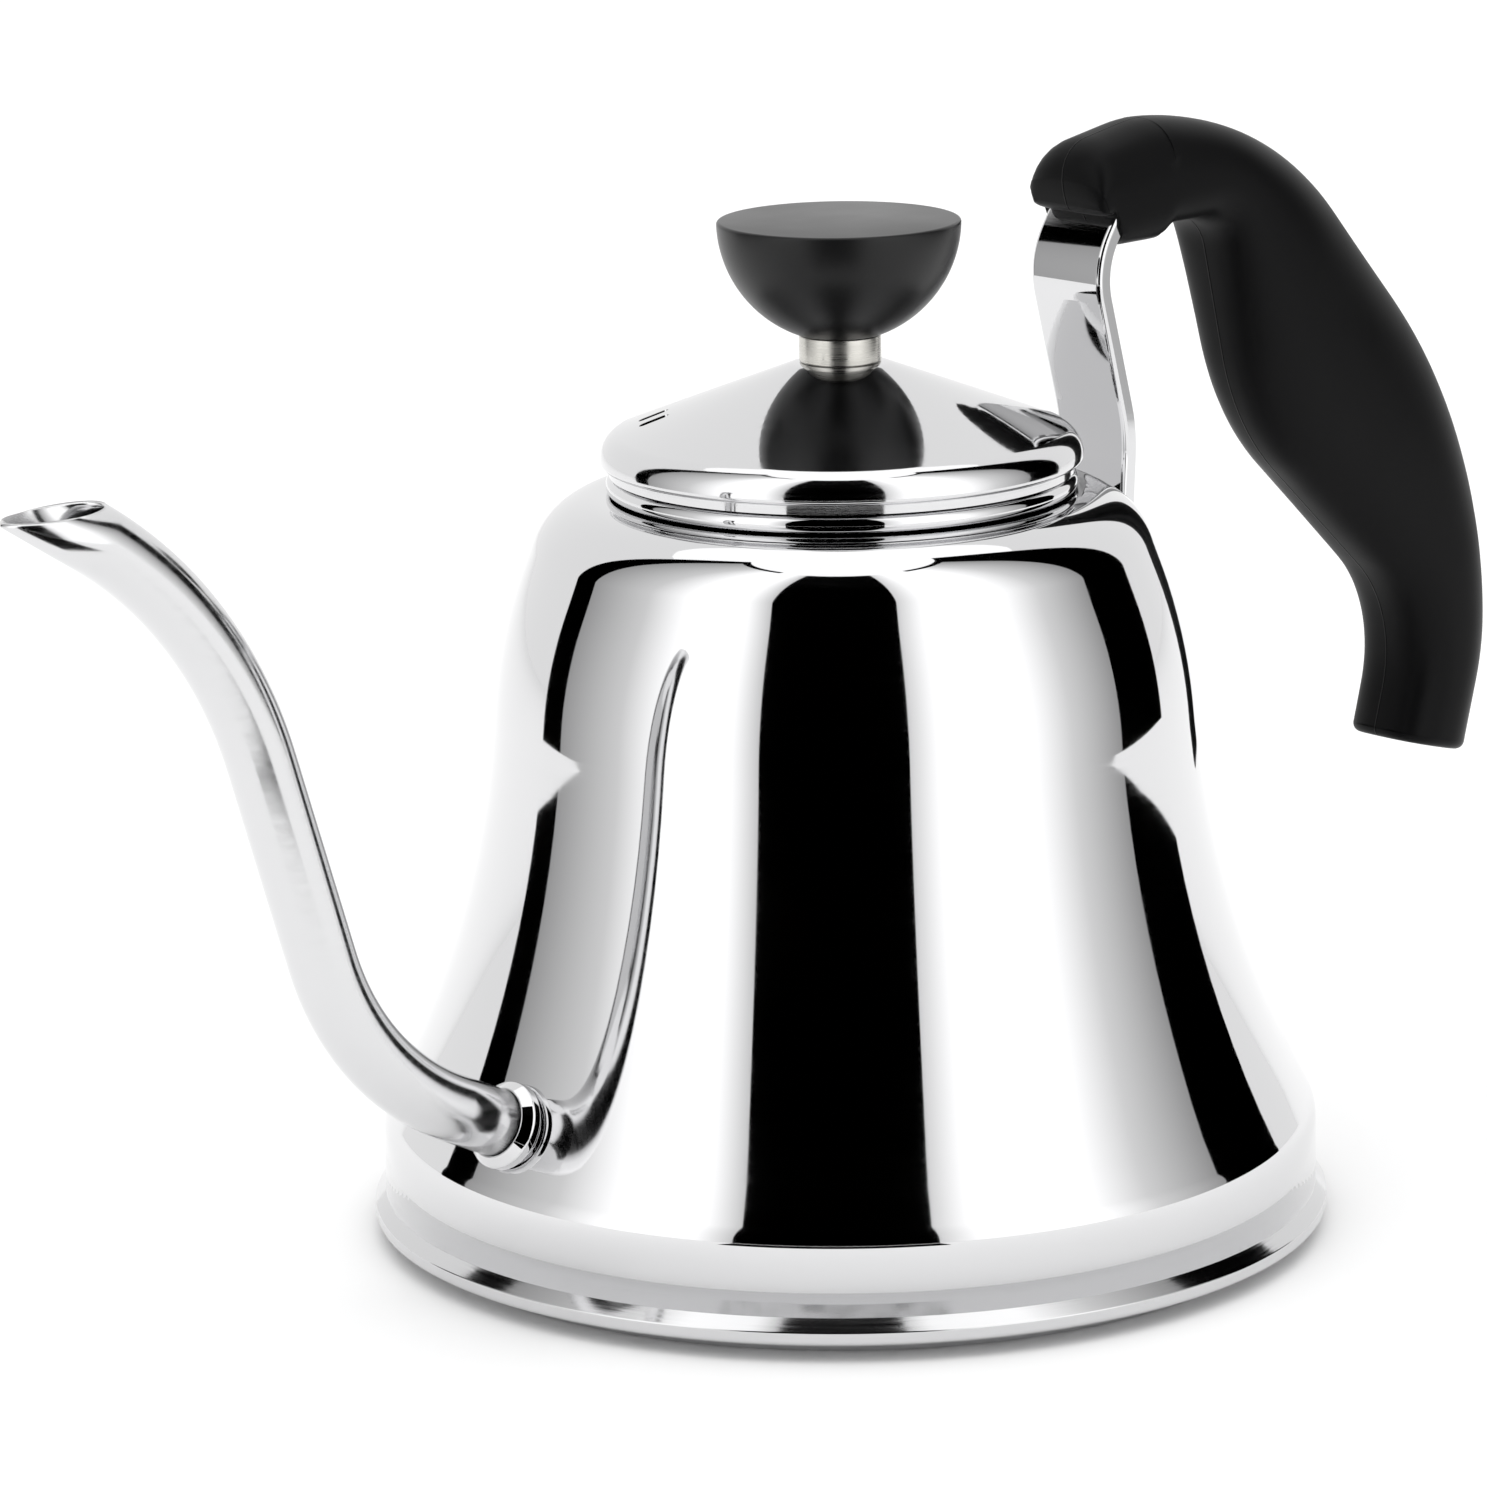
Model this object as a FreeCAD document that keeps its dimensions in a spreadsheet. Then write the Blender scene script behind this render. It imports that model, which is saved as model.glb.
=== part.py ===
import FreeCAD, Part
import math
import operator
import os
import PartDesign
import Sketcher

# Gooseneck kettle, in millimetres. The origin is the middle of the base on the surface that it
# stands on, +Z is up, the spout points to -X and the handle to +X. XZ is the plane of symmetry.

# Each row: the size's name, its value and what it is. Lengths are mm and angles are degrees.
SIZES = [
    ("sheet_wall", 0.8, "wall of the spun body"),
    ("seam_gap", 0.05, "play between two pieces that are welded or glued"),
    ("cut_clearance", 1.0, "start of a cut above the face that it opens"),
    # bell-shaped body, given by the corners of its outer line before they are rounded
    ("base_seam", 6.5, "height of the seam between the body and the base"),
    ("band_radius", 73.0, "upright band above the seam"),
    ("band_top", 18.2, "height where the band turns into the flare"),
    ("band_round", 8.0, "rounding there"),
    ("waist_radius", 56.74, "where the flare turns into the upper wall"),
    ("waist_height", 51.56, "height of that corner"),
    ("waist_round", 155.0, "its long hollow curve"),
    ("shoulder_radius", 53.43, "where the upper wall turns in"),
    ("shoulder_drop", 22.3, "that corner below the top of the body"),
    ("shoulder_round", 80.0, "its rounding"),
    ("crown_ledge", 10.2, "the last corner outside the mouth hole"),
    ("crown_round", 12.0, "its rounding"),
    ("body_height", 116.0, "top of the spun body"),
    # ring welded into the mouth
    ("mouth_radius", 34.7, "hole in the top of the body"),
    ("ring_wall", 1.25, "wall of the ring inside the hole"),
    ("ring_ledge", 1.6, "ring's bead outside the hole"),
    ("ring_height", 3.0, "bead above the body"),
    ("ring_round", 1.4, "rounding of the bead"),
    ("ring_spigot", 4.0, "ring below the top of the body"),
    # base
    ("floor_height", 3.6, "underside of the vessel's floor"),
    ("floor_wall", 0.8, "floor sheet"),
    ("floor_upstand", 2.6, "floor's spigot above the seam"),
    ("hem_overhang", 1.72, "rolled hem outside the band"),
    ("hem_height", 4.0, "height of the hem"),
    ("hem_round", 1.5, "rounding of the hem"),
    ("cap_radius", 70.0, "steel cap under the base"),
    ("cap_wall", 0.6, "its sheet"),
    ("cap_round", 1.6, "its bottom corner"),
    # spout
    ("spout_diameter", 10.3, "outside of the tube"),
    ("spout_wall", 0.8, "tube wall"),
    ("spout_inset", 1.6, "tube end inside the body's outer face"),
    ("spout_root_height", 28.0, "where the spout's axis leaves the body"),
    ("spout_lower_run", 32.2, "from there to the corner of the lower bend"),
    ("spout_lower_bend", 45.0, "radius of the lower bend"),
    ("spout_lean", 22.9, "upper corner outside the lower one"),
    ("spout_rise", 73.4, "upper corner above the lower one"),
    ("spout_upper_bend", 68.0, "radius of the upper bend"),
    ("spout_tip_run", 32.8, "from the upper corner to the middle of the mouth"),
    ("spout_tip_angle", 33.0, "slope of the tip"),
    ("spout_cut_angle", 4.3, "slope of the mouth's cut"),
    # collar that hides the spout's weld
    ("collar_sleeve", 0.75, "wall of the sleeve inside the bead"),
    ("collar_bead", 0.8, "height of the bead above the sleeve"),
    ("collar_bead_width", 1.7, "width of the bead"),
    ("collar_bead_round", 0.6, "rounding of the bead"),
    ("collar_sink", 0.72, "sleeve inside the body's outer face before it is trimmed"),
    ("collar_foot", 0.35, "sleeve between the body and the bead"),
    ("collar_taper", 1.2, "length of the cone outside the bead"),
    ("collar_tip", 0.22, "sleeve's wall at its outer end"),
    # pressed steel bracket, a channel that is open at the back
    ("strap_width", 15.5, "across the bracket"),
    ("strap_web", 1.2, "sheet of the front face"),
    ("strap_flange", 2.4, "depth of the channel"),
    ("strap_flange_wall", 1.0, "sheet of the sides"),
    ("strap_edge_round", 0.8, "rounding of the channel's front edges"),
    ("strap_sink", 0.55, "foot sunk into the wall's curve before it is trimmed"),
    ("strap_foot_drop", 37.0, "lower end below the top of the body"),
    ("strap_foot_run", 18.5, "length that lies on the wall"),
    ("strap_foot_turn_in", 0.65, "upper end of the foot inside the wall's upper corner"),
    ("strap_foot_bend", 50.0, "radius of the bend above the foot"),
    ("strap_hip_out", 1.3, "upper end of the foot to the outward corner"),
    ("strap_hip_rise", 2.5, "outward corner above the top of the body"),
    ("strap_hip_bend", 25.0, "its radius"),
    ("strap_neck_in", 6.9, "inward corner inside the outward one"),
    ("strap_neck_rise", 29.5, "inward corner above the top of the body"),
    ("strap_neck_bend", 14.0, "its radius"),
    ("strap_tongue_out", 7.6, "start of the tongue outside the inward corner"),
    ("strap_tongue_rise", 41.5, "tongue above the top of the body"),
    ("strap_tongue_bend", 6.0, "bend into the tongue"),
    ("strap_tongue_run", 12.5, "length of the tongue"),
    # moulded grip, placed from the start of the bracket's tongue
    ("grip_width", 20.0, "across the grip"),
    ("grip_round", 5.0, "rounding of its long edges"),
    ("slot_play", 0.1, "play around the tongue"),
    ("slot_start", 0.35, "share of the run from neck to tongue where the slot starts"),
    # handle screw
    ("handle_screw_in", 3.5, "screw's axis past the start of the tongue"),
    ("handle_seat_drop", 5.8, "seat of the screw head below the tongue"),
    ("counterbore_play", 0.3, "play around the head and washer"),
    # lid
    ("lid_play", 0.15, "gap between the lid and the mouth ring"),
    ("lid_wall", 0.7, "lid sheet"),
    ("lid_height", 16.95, "top of the lid above its lip"),
    ("lid_land", 6.9, "flat under the ferrule"),
    ("lid_overhang", 0.9, "lid's rim outside the mouth ring"),
    ("lid_eave", 4.0, "height of the rim's corner above its lower edge"),
    ("lid_eave_round", 4.4, "rounding of that corner"),
    ("lid_rim_round", 0.85, "rounding of the lower edge"),
    ("lip_inset", 0.5, "lip inside the mouth ring's bead"),
    ("lip_height", 1.45, "height of the lip"),
    ("skirt_play", 0.35, "play between the skirt and the mouth ring"),
    ("skirt_depth", 9.5, "skirt below the lip"),
    ("vent_radius", 28.7, "middle of the two steam slots"),
    ("vent_azimuth", 140.5, "direction of the slots from +X"),
    ("vent_spacing", 4.2, "from one slot to the other"),
    ("vent_length", 4.6, "length of a slot"),
    ("vent_width", 1.7, "width of a slot"),
    ("vent_end_round", 0.83, "rounding of a slot's ends"),
    # knob
    ("ferrule_radius", 6.3, "ring under the knob"),
    ("ferrule_height", 4.2, "its height"),
    ("ferrule_round", 0.3, "its edges"),
    ("knob_radius", 18.7, "knob"),
    ("knob_height", 17.6, "its height"),
    ("knob_bevel", 0.5, "edge of its flat top"),
    # M4 hardware, the same under the knob and in the grip
    ("screw_radius", 2.0, "M4 shank"),
    ("screw_play", 0.2, "clearance hole around the shank"),
    ("thread_play", 0.03, "shank in the insert's thread"),
    ("head_radius", 3.8, "pan head"),
    ("head_height", 2.4, "pan head"),
    ("head_round", 1.2, "pan head's edge"),
    ("point_round", 0.5, "screw's end"),
    ("recess_width", 1.0, "arm of the cross recess"),
    ("recess_length", 4.0, "across the cross recess"),
    ("recess_depth", 1.4, "cross recess"),
    ("washer_radius", 4.5, "flat washer"),
    ("washer_thickness", 0.8, "flat washer"),
    ("lock_radius", 3.6, "split washer"),
    ("lock_thickness", 1.0, "split washer"),
    ("lock_split", 0.8, "gap of the split"),
    ("insert_radius", 3.1, "brass insert"),
    ("knob_insert_length", 9.0, "insert in the knob"),
    ("handle_insert_length", 5.0, "insert in the grip"),
    ("thread_end", 0.8, "screw ends this far before its insert does"),
]

OPERATIONS = {"+": operator.add, "-": operator.sub, "*": operator.mul, "/": operator.truediv}


class Size:
    """A size: its value, and the expression of sheet cells that gives it."""

    def __init__(self, value, text):
        self.value = value
        self.text = text

    def __add__(self, other):
        return combine(self, "+", other)

    def __sub__(self, other):
        return combine(self, "-", other)

    def __mul__(self, other):
        return combine(self, "*", other)

    def __truediv__(self, other):
        return combine(self, "/", other)

    def __neg__(self):
        return Size(-self.value, f"-({self.text})")


def as_size(number):
    """Wrap a plain number, so that it mixes with sizes."""
    if isinstance(number, Size):
        return number
    return Size(float(number), repr(number))


def combine(left, sign, right):
    """Join two sizes with one operation."""
    left, right = as_size(left), as_size(right)
    value = OPERATIONS[sign](left.value, right.value)
    return Size(value, f"({left.text} {sign} {right.text})")


def cosine(angle):
    return Size(math.cos(math.radians(angle.value)), f"cos({angle.text})")


def sine(angle):
    return Size(math.sin(math.radians(angle.value)), f"sin({angle.text})")


def arc_tangent(ratio):
    """The angle, in degrees, whose tangent is the ratio."""
    return Size(math.degrees(math.atan(ratio.value)), f"atan({ratio.text})")


def arc_sine(ratio):
    """The angle, in degrees, whose sine is the ratio."""
    return Size(math.degrees(math.asin(ratio.value)), f"asin({ratio.text})")


QUARTER_TURN = Size(90.0, "90 deg")
HALF_TURN = Size(180.0, "180 deg")


class Sheet:
    """The document's spreadsheet, whose sizes read as attributes."""

    def __init__(self, doc):
        cells = doc.addObject("Spreadsheet::Sheet", "Sizes")
        for row, (name, value, note) in enumerate(SIZES, start=1):
            cells.set(f"A{row}", name)
            cells.set(f"B{row}", str(value))
            cells.set(f"C{row}", note)
            cells.setAlias(f"B{row}", name)
        doc.recompute()
        for name, _, _ in SIZES:
            setattr(self, name, Size(float(cells.get(name)), f"Sizes.{name}"))


doc = FreeCAD.newDocument("gooseneck_kettle")
s = Sheet(doc)


# ---------------------------------------------------------------- drawing and feature helpers


def bind(target, path, size):
    """Set one numeric property to a size, with its expression."""
    size = as_size(size)
    target.setExpression(path, size.text)


def constrain(sketch, size, kind, *where):
    """Add a dimension to the sketch and bind it to the size."""
    size = as_size(size)
    index = sketch.addConstraint(Sketcher.Constraint(kind, *where, size.value))
    if "Sizes." in size.text:
        sketch.setExpression(f"Constraints[{index}]", size.text)


def place_point(sketch, x, y, geometry, end):
    """Dimension a point from the sketch's origin."""
    constrain(sketch, x, "DistanceX", -1, 1, geometry, end)
    constrain(sketch, y, "DistanceY", -1, 1, geometry, end)


class Corner:
    """One corner of an outline, with the radius that rounds it."""

    def __init__(self, x, y, radius=None):
        self.x = as_size(x)
        self.y = as_size(y)
        self.radius = as_size(radius) if radius is not None else None
        self.point = FreeCAD.Vector(self.x.value, self.y.value, 0)
        self.reach = 0.0

    def aim(self, before, after):
        """Find how far the rounding reaches along both edges."""
        self.back = (before.point - self.point).normalize()
        self.ahead = (after.point - self.point).normalize()
        self.half_angle = self.back.getAngle(self.ahead) / 2
        self.reach = self.radius.value / math.tan(self.half_angle)

    def limit(self, share):
        """Shorten the rounding to a share of what was asked, where its edges are too short."""
        self.reach *= share
        self.radius = as_size(round(self.reach * math.tan(self.half_angle), 4))

    def arc(self):
        """The rounding as an arc, and whether the outline runs along it from start to end."""
        radius = self.reach * math.tan(self.half_angle)
        middle = (self.back + self.ahead).normalize()
        centre = self.point + middle * (radius / math.sin(self.half_angle))
        first = self.point + self.back * self.reach - centre
        last = self.point + self.ahead * self.reach - centre
        forward = self.back.cross(self.ahead).z < 0
        start, end = (first, last) if forward else (last, first)
        circle = Part.Circle(centre, FreeCAD.Vector(0, 0, 1), radius)
        angles = math.atan2(start.y, start.x), math.atan2(end.y, end.x)
        return Part.ArcOfCircle(circle, *angles), forward


def fit_roundings(corners, edges):
    """Make two roundings that share an edge fit along it."""
    shares = {id(corner): 1.0 for corner in corners}
    for near, far in edges:
        length = (far.point - near.point).Length
        wanted = near.reach + far.reach
        if wanted > 0.995 * length:
            for corner in (near, far):
                shares[id(corner)] = min(shares[id(corner)], 0.995 * length / wanted)
    for corner in corners:
        if shares[id(corner)] < 1.0 and corner.reach:
            corner.limit(shares[id(corner)])


def outline(sketch, points, closed=True):
    """Draw straight edges through the points, rounding each point that has a radius."""
    corners = [Corner(*point) for point in points]
    edges = list(zip(corners, corners[1:]))
    if closed:
        edges.append((corners[-1], corners[0]))
    for index, corner in enumerate(corners):
        if corner.radius is not None:
            corner.aim(corners[index - 1], corners[(index + 1) % len(corners)])
    fit_roundings(corners, edges)
    lines = {}
    for near, far in edges:
        along = (far.point - near.point).normalize()
        ends = near.point + along * near.reach, far.point - along * far.reach
        line = sketch.addGeometry(Part.LineSegment(*ends), False)
        lines[id(near), "out"] = lines[id(far), "in"] = line
    for corner in corners:
        join_corner(sketch, corner, lines.get((id(corner), "in")), lines.get((id(corner), "out")))


def join_corner(sketch, corner, line_in, line_out):
    """Join the two edges at a corner, through its rounding where it has one."""
    if line_in is None or line_out is None:
        line, end = (line_out, 1) if line_in is None else (line_in, 2)
        place_point(sketch, corner.x, corner.y, line, end)
        return
    if corner.radius is None:
        sketch.addConstraint(Sketcher.Constraint("Coincident", line_in, 2, line_out, 1))
        place_point(sketch, corner.x, corner.y, line_out, 1)
        return
    shape, forward = corner.arc()
    arc = sketch.addGeometry(shape, False)
    first, last = (1, 2) if forward else (2, 1)
    sketch.addConstraint(Sketcher.Constraint("Tangent", line_in, 2, arc, first))
    sketch.addConstraint(Sketcher.Constraint("Tangent", arc, last, line_out, 1))
    constrain(sketch, corner.radius, "Radius", arc)
    tip = sketch.addGeometry(Part.Point(corner.point), True)
    sketch.addConstraint(Sketcher.Constraint("PointOnObject", tip, 1, line_in))
    sketch.addConstraint(Sketcher.Constraint("PointOnObject", tip, 1, line_out))
    place_point(sketch, corner.x, corner.y, tip, 1)


def rectangle(sketch, left, bottom, right, top):
    outline(sketch, [(left, bottom), (right, bottom), (right, top), (left, top)])


def circle(sketch, radius):
    """Draw a circle about the sketch's origin."""
    radius = as_size(radius)
    shape = Part.Circle(FreeCAD.Vector(), FreeCAD.Vector(0, 0, 1), radius.value)
    index = sketch.addGeometry(shape, False)
    sketch.addConstraint(Sketcher.Constraint("Coincident", index, 3, -1, 1))
    constrain(sketch, radius, "Radius", index)


def new_body(name):
    body = doc.addObject("PartDesign::Body", name)
    body.Label = name
    return body


def sketch_on(body, role, at=(0, 0, 0), axis=(0, 0, 1), turn=0):
    """Start a sketch on one of the body's origin planes, moved and turned in that plane's axes."""
    sketch = body.newObject("Sketcher::SketchObject", f"{body.Name}_sketch")
    support = [plane for plane in body.Origin.OriginFeatures if plane.Role == role][0]
    sketch.AttachmentSupport = (support, [""])
    sketch.MapMode = "FlatFace"
    turn = as_size(turn)
    turned = FreeCAD.Rotation(FreeCAD.Vector(*axis), turn.value)
    base = FreeCAD.Vector(*[as_size(value).value for value in at])
    sketch.AttachmentOffset = FreeCAD.Placement(base, turned)
    for letter, value in zip("xyz", at):
        if isinstance(value, Size):
            bind(sketch, f"AttachmentOffset.Base.{letter}", value)
    if "Sizes." in turn.text:
        bind(sketch, "AttachmentOffset.Rotation.Angle", turn)
    return sketch


def revolve(body, sketch, axis="V_Axis"):
    """Turn the sketch's outline into a solid of revolution."""
    turned = body.newObject("PartDesign::Revolution", f"{body.Name}_revolution")
    turned.Profile = sketch
    turned.ReferenceAxis = (sketch, [axis])
    turned.Angle = 360
    doc.recompute()
    return turned


def sweep(body, kind, path, section):
    """Add or take away the section swept along the path."""
    pipe = body.newObject(f"PartDesign::{kind}", f"{body.Name}_sweep")
    pipe.Profile = section
    edges = [f"Edge{number + 1}" for number in range(len(path.Shape.Edges))]
    pipe.Spine = (path, edges)
    doc.recompute()
    return pipe


def pad(body, sketch, length, both_ways=False):
    grown = body.newObject("PartDesign::Pad", f"{body.Name}_pad")
    grown.Profile = sketch
    grown.Midplane = both_ways
    bind(grown, "Length", length)
    doc.recompute()
    return grown


def pocket(body, sketch, length, both_ways=False, upward=False):
    """Cut the sketch's outline out of the body, and make sure that something was cut."""
    before = body.Shape.Volume
    cut = body.newObject("PartDesign::Pocket", f"{body.Name}_pocket")
    cut.Profile = sketch
    cut.Midplane = both_ways
    cut.Reversed = upward
    bind(cut, "Length", length)
    doc.recompute()
    if not body.Shape.Volume < before - 1e-6:
        raise RuntimeError(f"{body.Name}: a pocket cut nothing")
    return cut


def hollow(body, feature, wall, opening):
    """Leave a wall of even thickness, open at the named face."""
    shell = body.newObject("PartDesign::Thickness", f"{body.Name}_thickness")
    shell.Base = (feature, [opening])
    shell.Reversed = True
    shell.Join = "Intersection"
    bind(shell, "Value", wall)
    doc.recompute()
    return shell


def flat_face_at(shape, height):
    """The name of the shape's level face at this height."""
    for number, face in enumerate(shape.Faces, start=1):
        level = face.BoundBox.ZLength < 1e-6
        if level and abs(face.BoundBox.ZMin - height.value) < 1e-6:
            return f"Face{number}"
    raise RuntimeError(f"no face at {height.text}")


def lathe(name, points):
    """A sub-part turned about the kettle's axis, from its half section."""
    body = new_body(name)
    sketch = sketch_on(body, "XZ_Plane")
    outline(sketch, points)
    revolve(body, sketch)
    return body


def tube(name, bottom, top, bore, radius, rounding=None):
    """A ring or sleeve about the kettle's axis."""
    corners = [(bore, bottom), (radius, bottom, rounding), (radius, top, rounding), (bore, top)]
    return lathe(name, corners)


def raise_to(body, x, z):
    """Move a sub-part that was drawn at the origin."""
    bind(body, "Placement.Base.x", x)
    bind(body, "Placement.Base.z", z)


# ---------------------------------------------------------------- shared lines of the kettle

shoulder_height = s.body_height - s.shoulder_drop
crown_radius = s.mouth_radius + s.crown_ledge
spout_radius = s.spout_diameter / 2

# the spout leaves the flare at a right angle
flare_slope = (s.band_radius - s.waist_radius) / (s.waist_height - s.band_top)
root_angle = arc_tangent(flare_slope)
root_radius = s.band_radius - (s.spout_root_height - s.band_top) * flare_slope

# mouth ring and lid, from the bottom up
ring_bore = s.mouth_radius - s.seam_gap - s.ring_wall
ring_radius = s.mouth_radius + s.ring_ledge
ring_top = s.body_height + s.ring_height
lip_bottom = ring_top + s.lid_play
lip_radius = ring_radius - s.lip_inset
rim_bottom = lip_bottom + s.lip_height
rim_radius = ring_radius + s.lid_overhang
lid_top = lip_bottom + s.lid_height
knob_bottom = lid_top + s.ferrule_height
knob_top = knob_bottom + s.knob_height
screw_hole = s.screw_radius + s.screw_play

# the bracket's front line, from its foot to the end of its tongue
foot_bottom = s.body_height - s.strap_foot_drop
upper_slope = (s.waist_radius - s.shoulder_radius) / (shoulder_height - s.waist_height)
foot_x = s.shoulder_radius + (shoulder_height - foot_bottom) * upper_slope - s.strap_sink
foot_top_x = s.shoulder_radius - s.strap_sink - s.strap_foot_turn_in
hip_x = foot_top_x + s.strap_hip_out
neck_x = hip_x - s.strap_neck_in
tongue_x = neck_x + s.strap_tongue_out
hip_z = s.body_height + s.strap_hip_rise
neck_z = s.body_height + s.strap_neck_rise
tongue_z = s.body_height + s.strap_tongue_rise

# handle screw
handle_screw_x = tongue_x + s.handle_screw_in
handle_seat_z = tongue_z - s.handle_seat_drop


# ---------------------------------------------------------------- body and base


def bell(body):
    """The solid bell inside the body's outer face."""
    sketch = sketch_on(body, "XZ_Plane")
    outline(
        sketch,
        [
            (0, s.base_seam),
            (s.band_radius, s.base_seam),
            (s.band_radius, s.band_top, s.band_round),
            (s.waist_radius, s.waist_height, s.waist_round),
            (s.shoulder_radius, shoulder_height, s.shoulder_round),
            (crown_radius, s.body_height, s.crown_round),
            (0, s.body_height),
        ],
    )
    return revolve(body, sketch)


def make_bell_form():
    """A solid bell that trims what is welded to the body's outer face."""
    body = new_body("bell_form")
    bell(body)
    return body


def make_body_shell():
    """Spun steel bell, open at the base, with the mouth and the spout's hole cut in it."""
    body = new_body("body_shell")
    solid = bell(body)
    hollow(body, solid, s.sheet_wall, flat_face_at(solid.Shape, s.base_seam))
    mouth = sketch_on(body, "XY_Plane", at=(0, 0, s.body_height + s.cut_clearance))
    circle(mouth, s.mouth_radius)
    pocket(body, mouth, s.ring_spigot)
    port = sketch_on(body, *root_frame(0))
    circle(port, spout_radius + s.seam_gap)
    pocket(body, port, s.spout_diameter, both_ways=True)
    return body


def root_frame(distance):
    """Plane square to the spout's axis at its root, this far outside the body."""
    x = -(root_radius + cosine(root_angle) * distance)
    z = s.spout_root_height + sine(root_angle) * distance
    return "XY_Plane", (x, 0, z), (0, 1, 0), root_angle - QUARTER_TURN


def make_mouth_ring():
    """Beaded ring in the mouth, which the lid sits on."""
    bottom = s.body_height - s.ring_spigot
    spigot = s.mouth_radius - s.seam_gap
    return lathe(
        "mouth_ring",
        [
            (ring_bore, bottom),
            (spigot, bottom),
            (spigot, s.body_height),
            (ring_radius, s.body_height, s.ring_round),
            (ring_radius, ring_top, s.ring_round),
            (ring_bore, ring_top, s.ring_wall / 2),
        ],
    )


def make_vessel_floor():
    """Floor of the vessel, whose edge is rolled into the hem that shows below the band."""
    spigot = s.band_radius - s.sheet_wall - s.seam_gap
    hem_radius = s.band_radius + s.hem_overhang
    floor_top = s.floor_height + s.floor_wall
    upstand_top = s.base_seam + s.floor_upstand
    hem_bottom = s.base_seam - s.hem_height
    return lathe(
        "vessel_floor",
        [
            (0, s.floor_height),
            (spigot - s.floor_wall, s.floor_height),
            (spigot - s.floor_wall, hem_bottom),
            (hem_radius, hem_bottom, s.hem_round),
            (hem_radius, s.base_seam, s.hem_round),
            (spigot, s.base_seam),
            (spigot, upstand_top),
            (spigot - s.floor_wall, upstand_top),
            (spigot - s.floor_wall, floor_top),
            (0, floor_top),
        ],
    )


def make_base_cap():
    """Steel cap that closes the base around the aluminium disc."""
    inside = s.cap_radius - s.cap_wall
    return lathe(
        "base_cap",
        [
            (0, 0),
            (s.cap_radius, 0, s.cap_round),
            (s.cap_radius, s.floor_height),
            (inside, s.floor_height),
            (inside, s.cap_wall, s.cap_round - s.cap_wall),
            (0, s.cap_wall),
        ],
    )


def make_heat_spreader():
    """Aluminium disc pressed between the cap and the floor."""
    edge = s.cap_radius - s.cap_wall - s.seam_gap
    return lathe(
        "heat_spreader",
        [
            (0, s.cap_wall),
            (edge, s.cap_wall, s.cap_round),
            (edge, s.floor_height),
            (0, s.floor_height),
        ],
    )


# ---------------------------------------------------------------- spout


def make_spout_tube():
    """Bent steel tube, cut nearly level at its mouth."""
    body = new_body("spout_tube")
    _, (start_x, _, start_z), axis, lean = root_frame(-s.spout_inset)
    lower_x = -(root_radius + cosine(root_angle) * s.spout_lower_run)
    lower_z = s.spout_root_height + sine(root_angle) * s.spout_lower_run
    upper_x = lower_x - s.spout_lean
    upper_z = lower_z + s.spout_rise
    mouth_x = upper_x - cosine(s.spout_tip_angle) * s.spout_tip_run
    mouth_z = upper_z + sine(s.spout_tip_angle) * s.spout_tip_run
    spare = s.spout_diameter
    path = sketch_on(body, "XZ_Plane")
    outline(
        path,
        [
            (start_x, start_z),
            (lower_x, lower_z, s.spout_lower_bend),
            (upper_x, upper_z, s.spout_upper_bend),
            (mouth_x - cosine(s.spout_tip_angle) * spare, mouth_z + sine(s.spout_tip_angle) * spare),
        ],
        closed=False,
    )
    ring = sketch_on(body, "XY_Plane", (start_x, 0, start_z), axis, lean)
    circle(ring, spout_radius)
    circle(ring, spout_radius - s.spout_wall)
    doc.recompute()
    sweep(body, "AdditivePipe", path, ring)
    knife = sketch_on(body, "XZ_Plane", at=(mouth_x, mouth_z, 0), turn=s.spout_cut_angle)
    reach = s.spout_diameter * 2
    rectangle(knife, -reach, 0, reach, reach)
    pocket(body, knife, reach, both_ways=True)
    return body


def make_spout_collar(form):
    """Beaded collar around the spout's root, trimmed to the body's face."""
    body = new_body("collar_blank")
    angle = HALF_TURN - root_angle
    sketch = sketch_on(body, "XZ_Plane", at=(-root_radius, s.spout_root_height, 0), turn=angle)
    bore = spout_radius + s.seam_gap
    sleeve = bore + s.collar_sleeve
    bead = sleeve + s.collar_bead
    end = s.collar_foot + s.collar_bead_width
    outline(
        sketch,
        [
            (-s.collar_sink, bore),
            (-s.collar_sink, sleeve),
            (s.collar_foot, sleeve),
            (s.collar_foot, bead, s.collar_bead_round),
            (end, bead, s.collar_bead_round),
            (end + s.collar_taper, bore + s.collar_tip),
            (end + s.collar_taper, bore),
        ],
    )
    revolve(body, sketch, "H_Axis")
    return trim(body, form, "spout_collar")


def trim(body, form, name):
    """Cut the body's bell away from a piece that is welded to it."""
    cut = doc.addObject("Part::Cut", name)
    cut.Base = body
    cut.Tool = form
    cut.Label = name
    doc.recompute()
    return cut


# ---------------------------------------------------------------- handle


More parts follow.
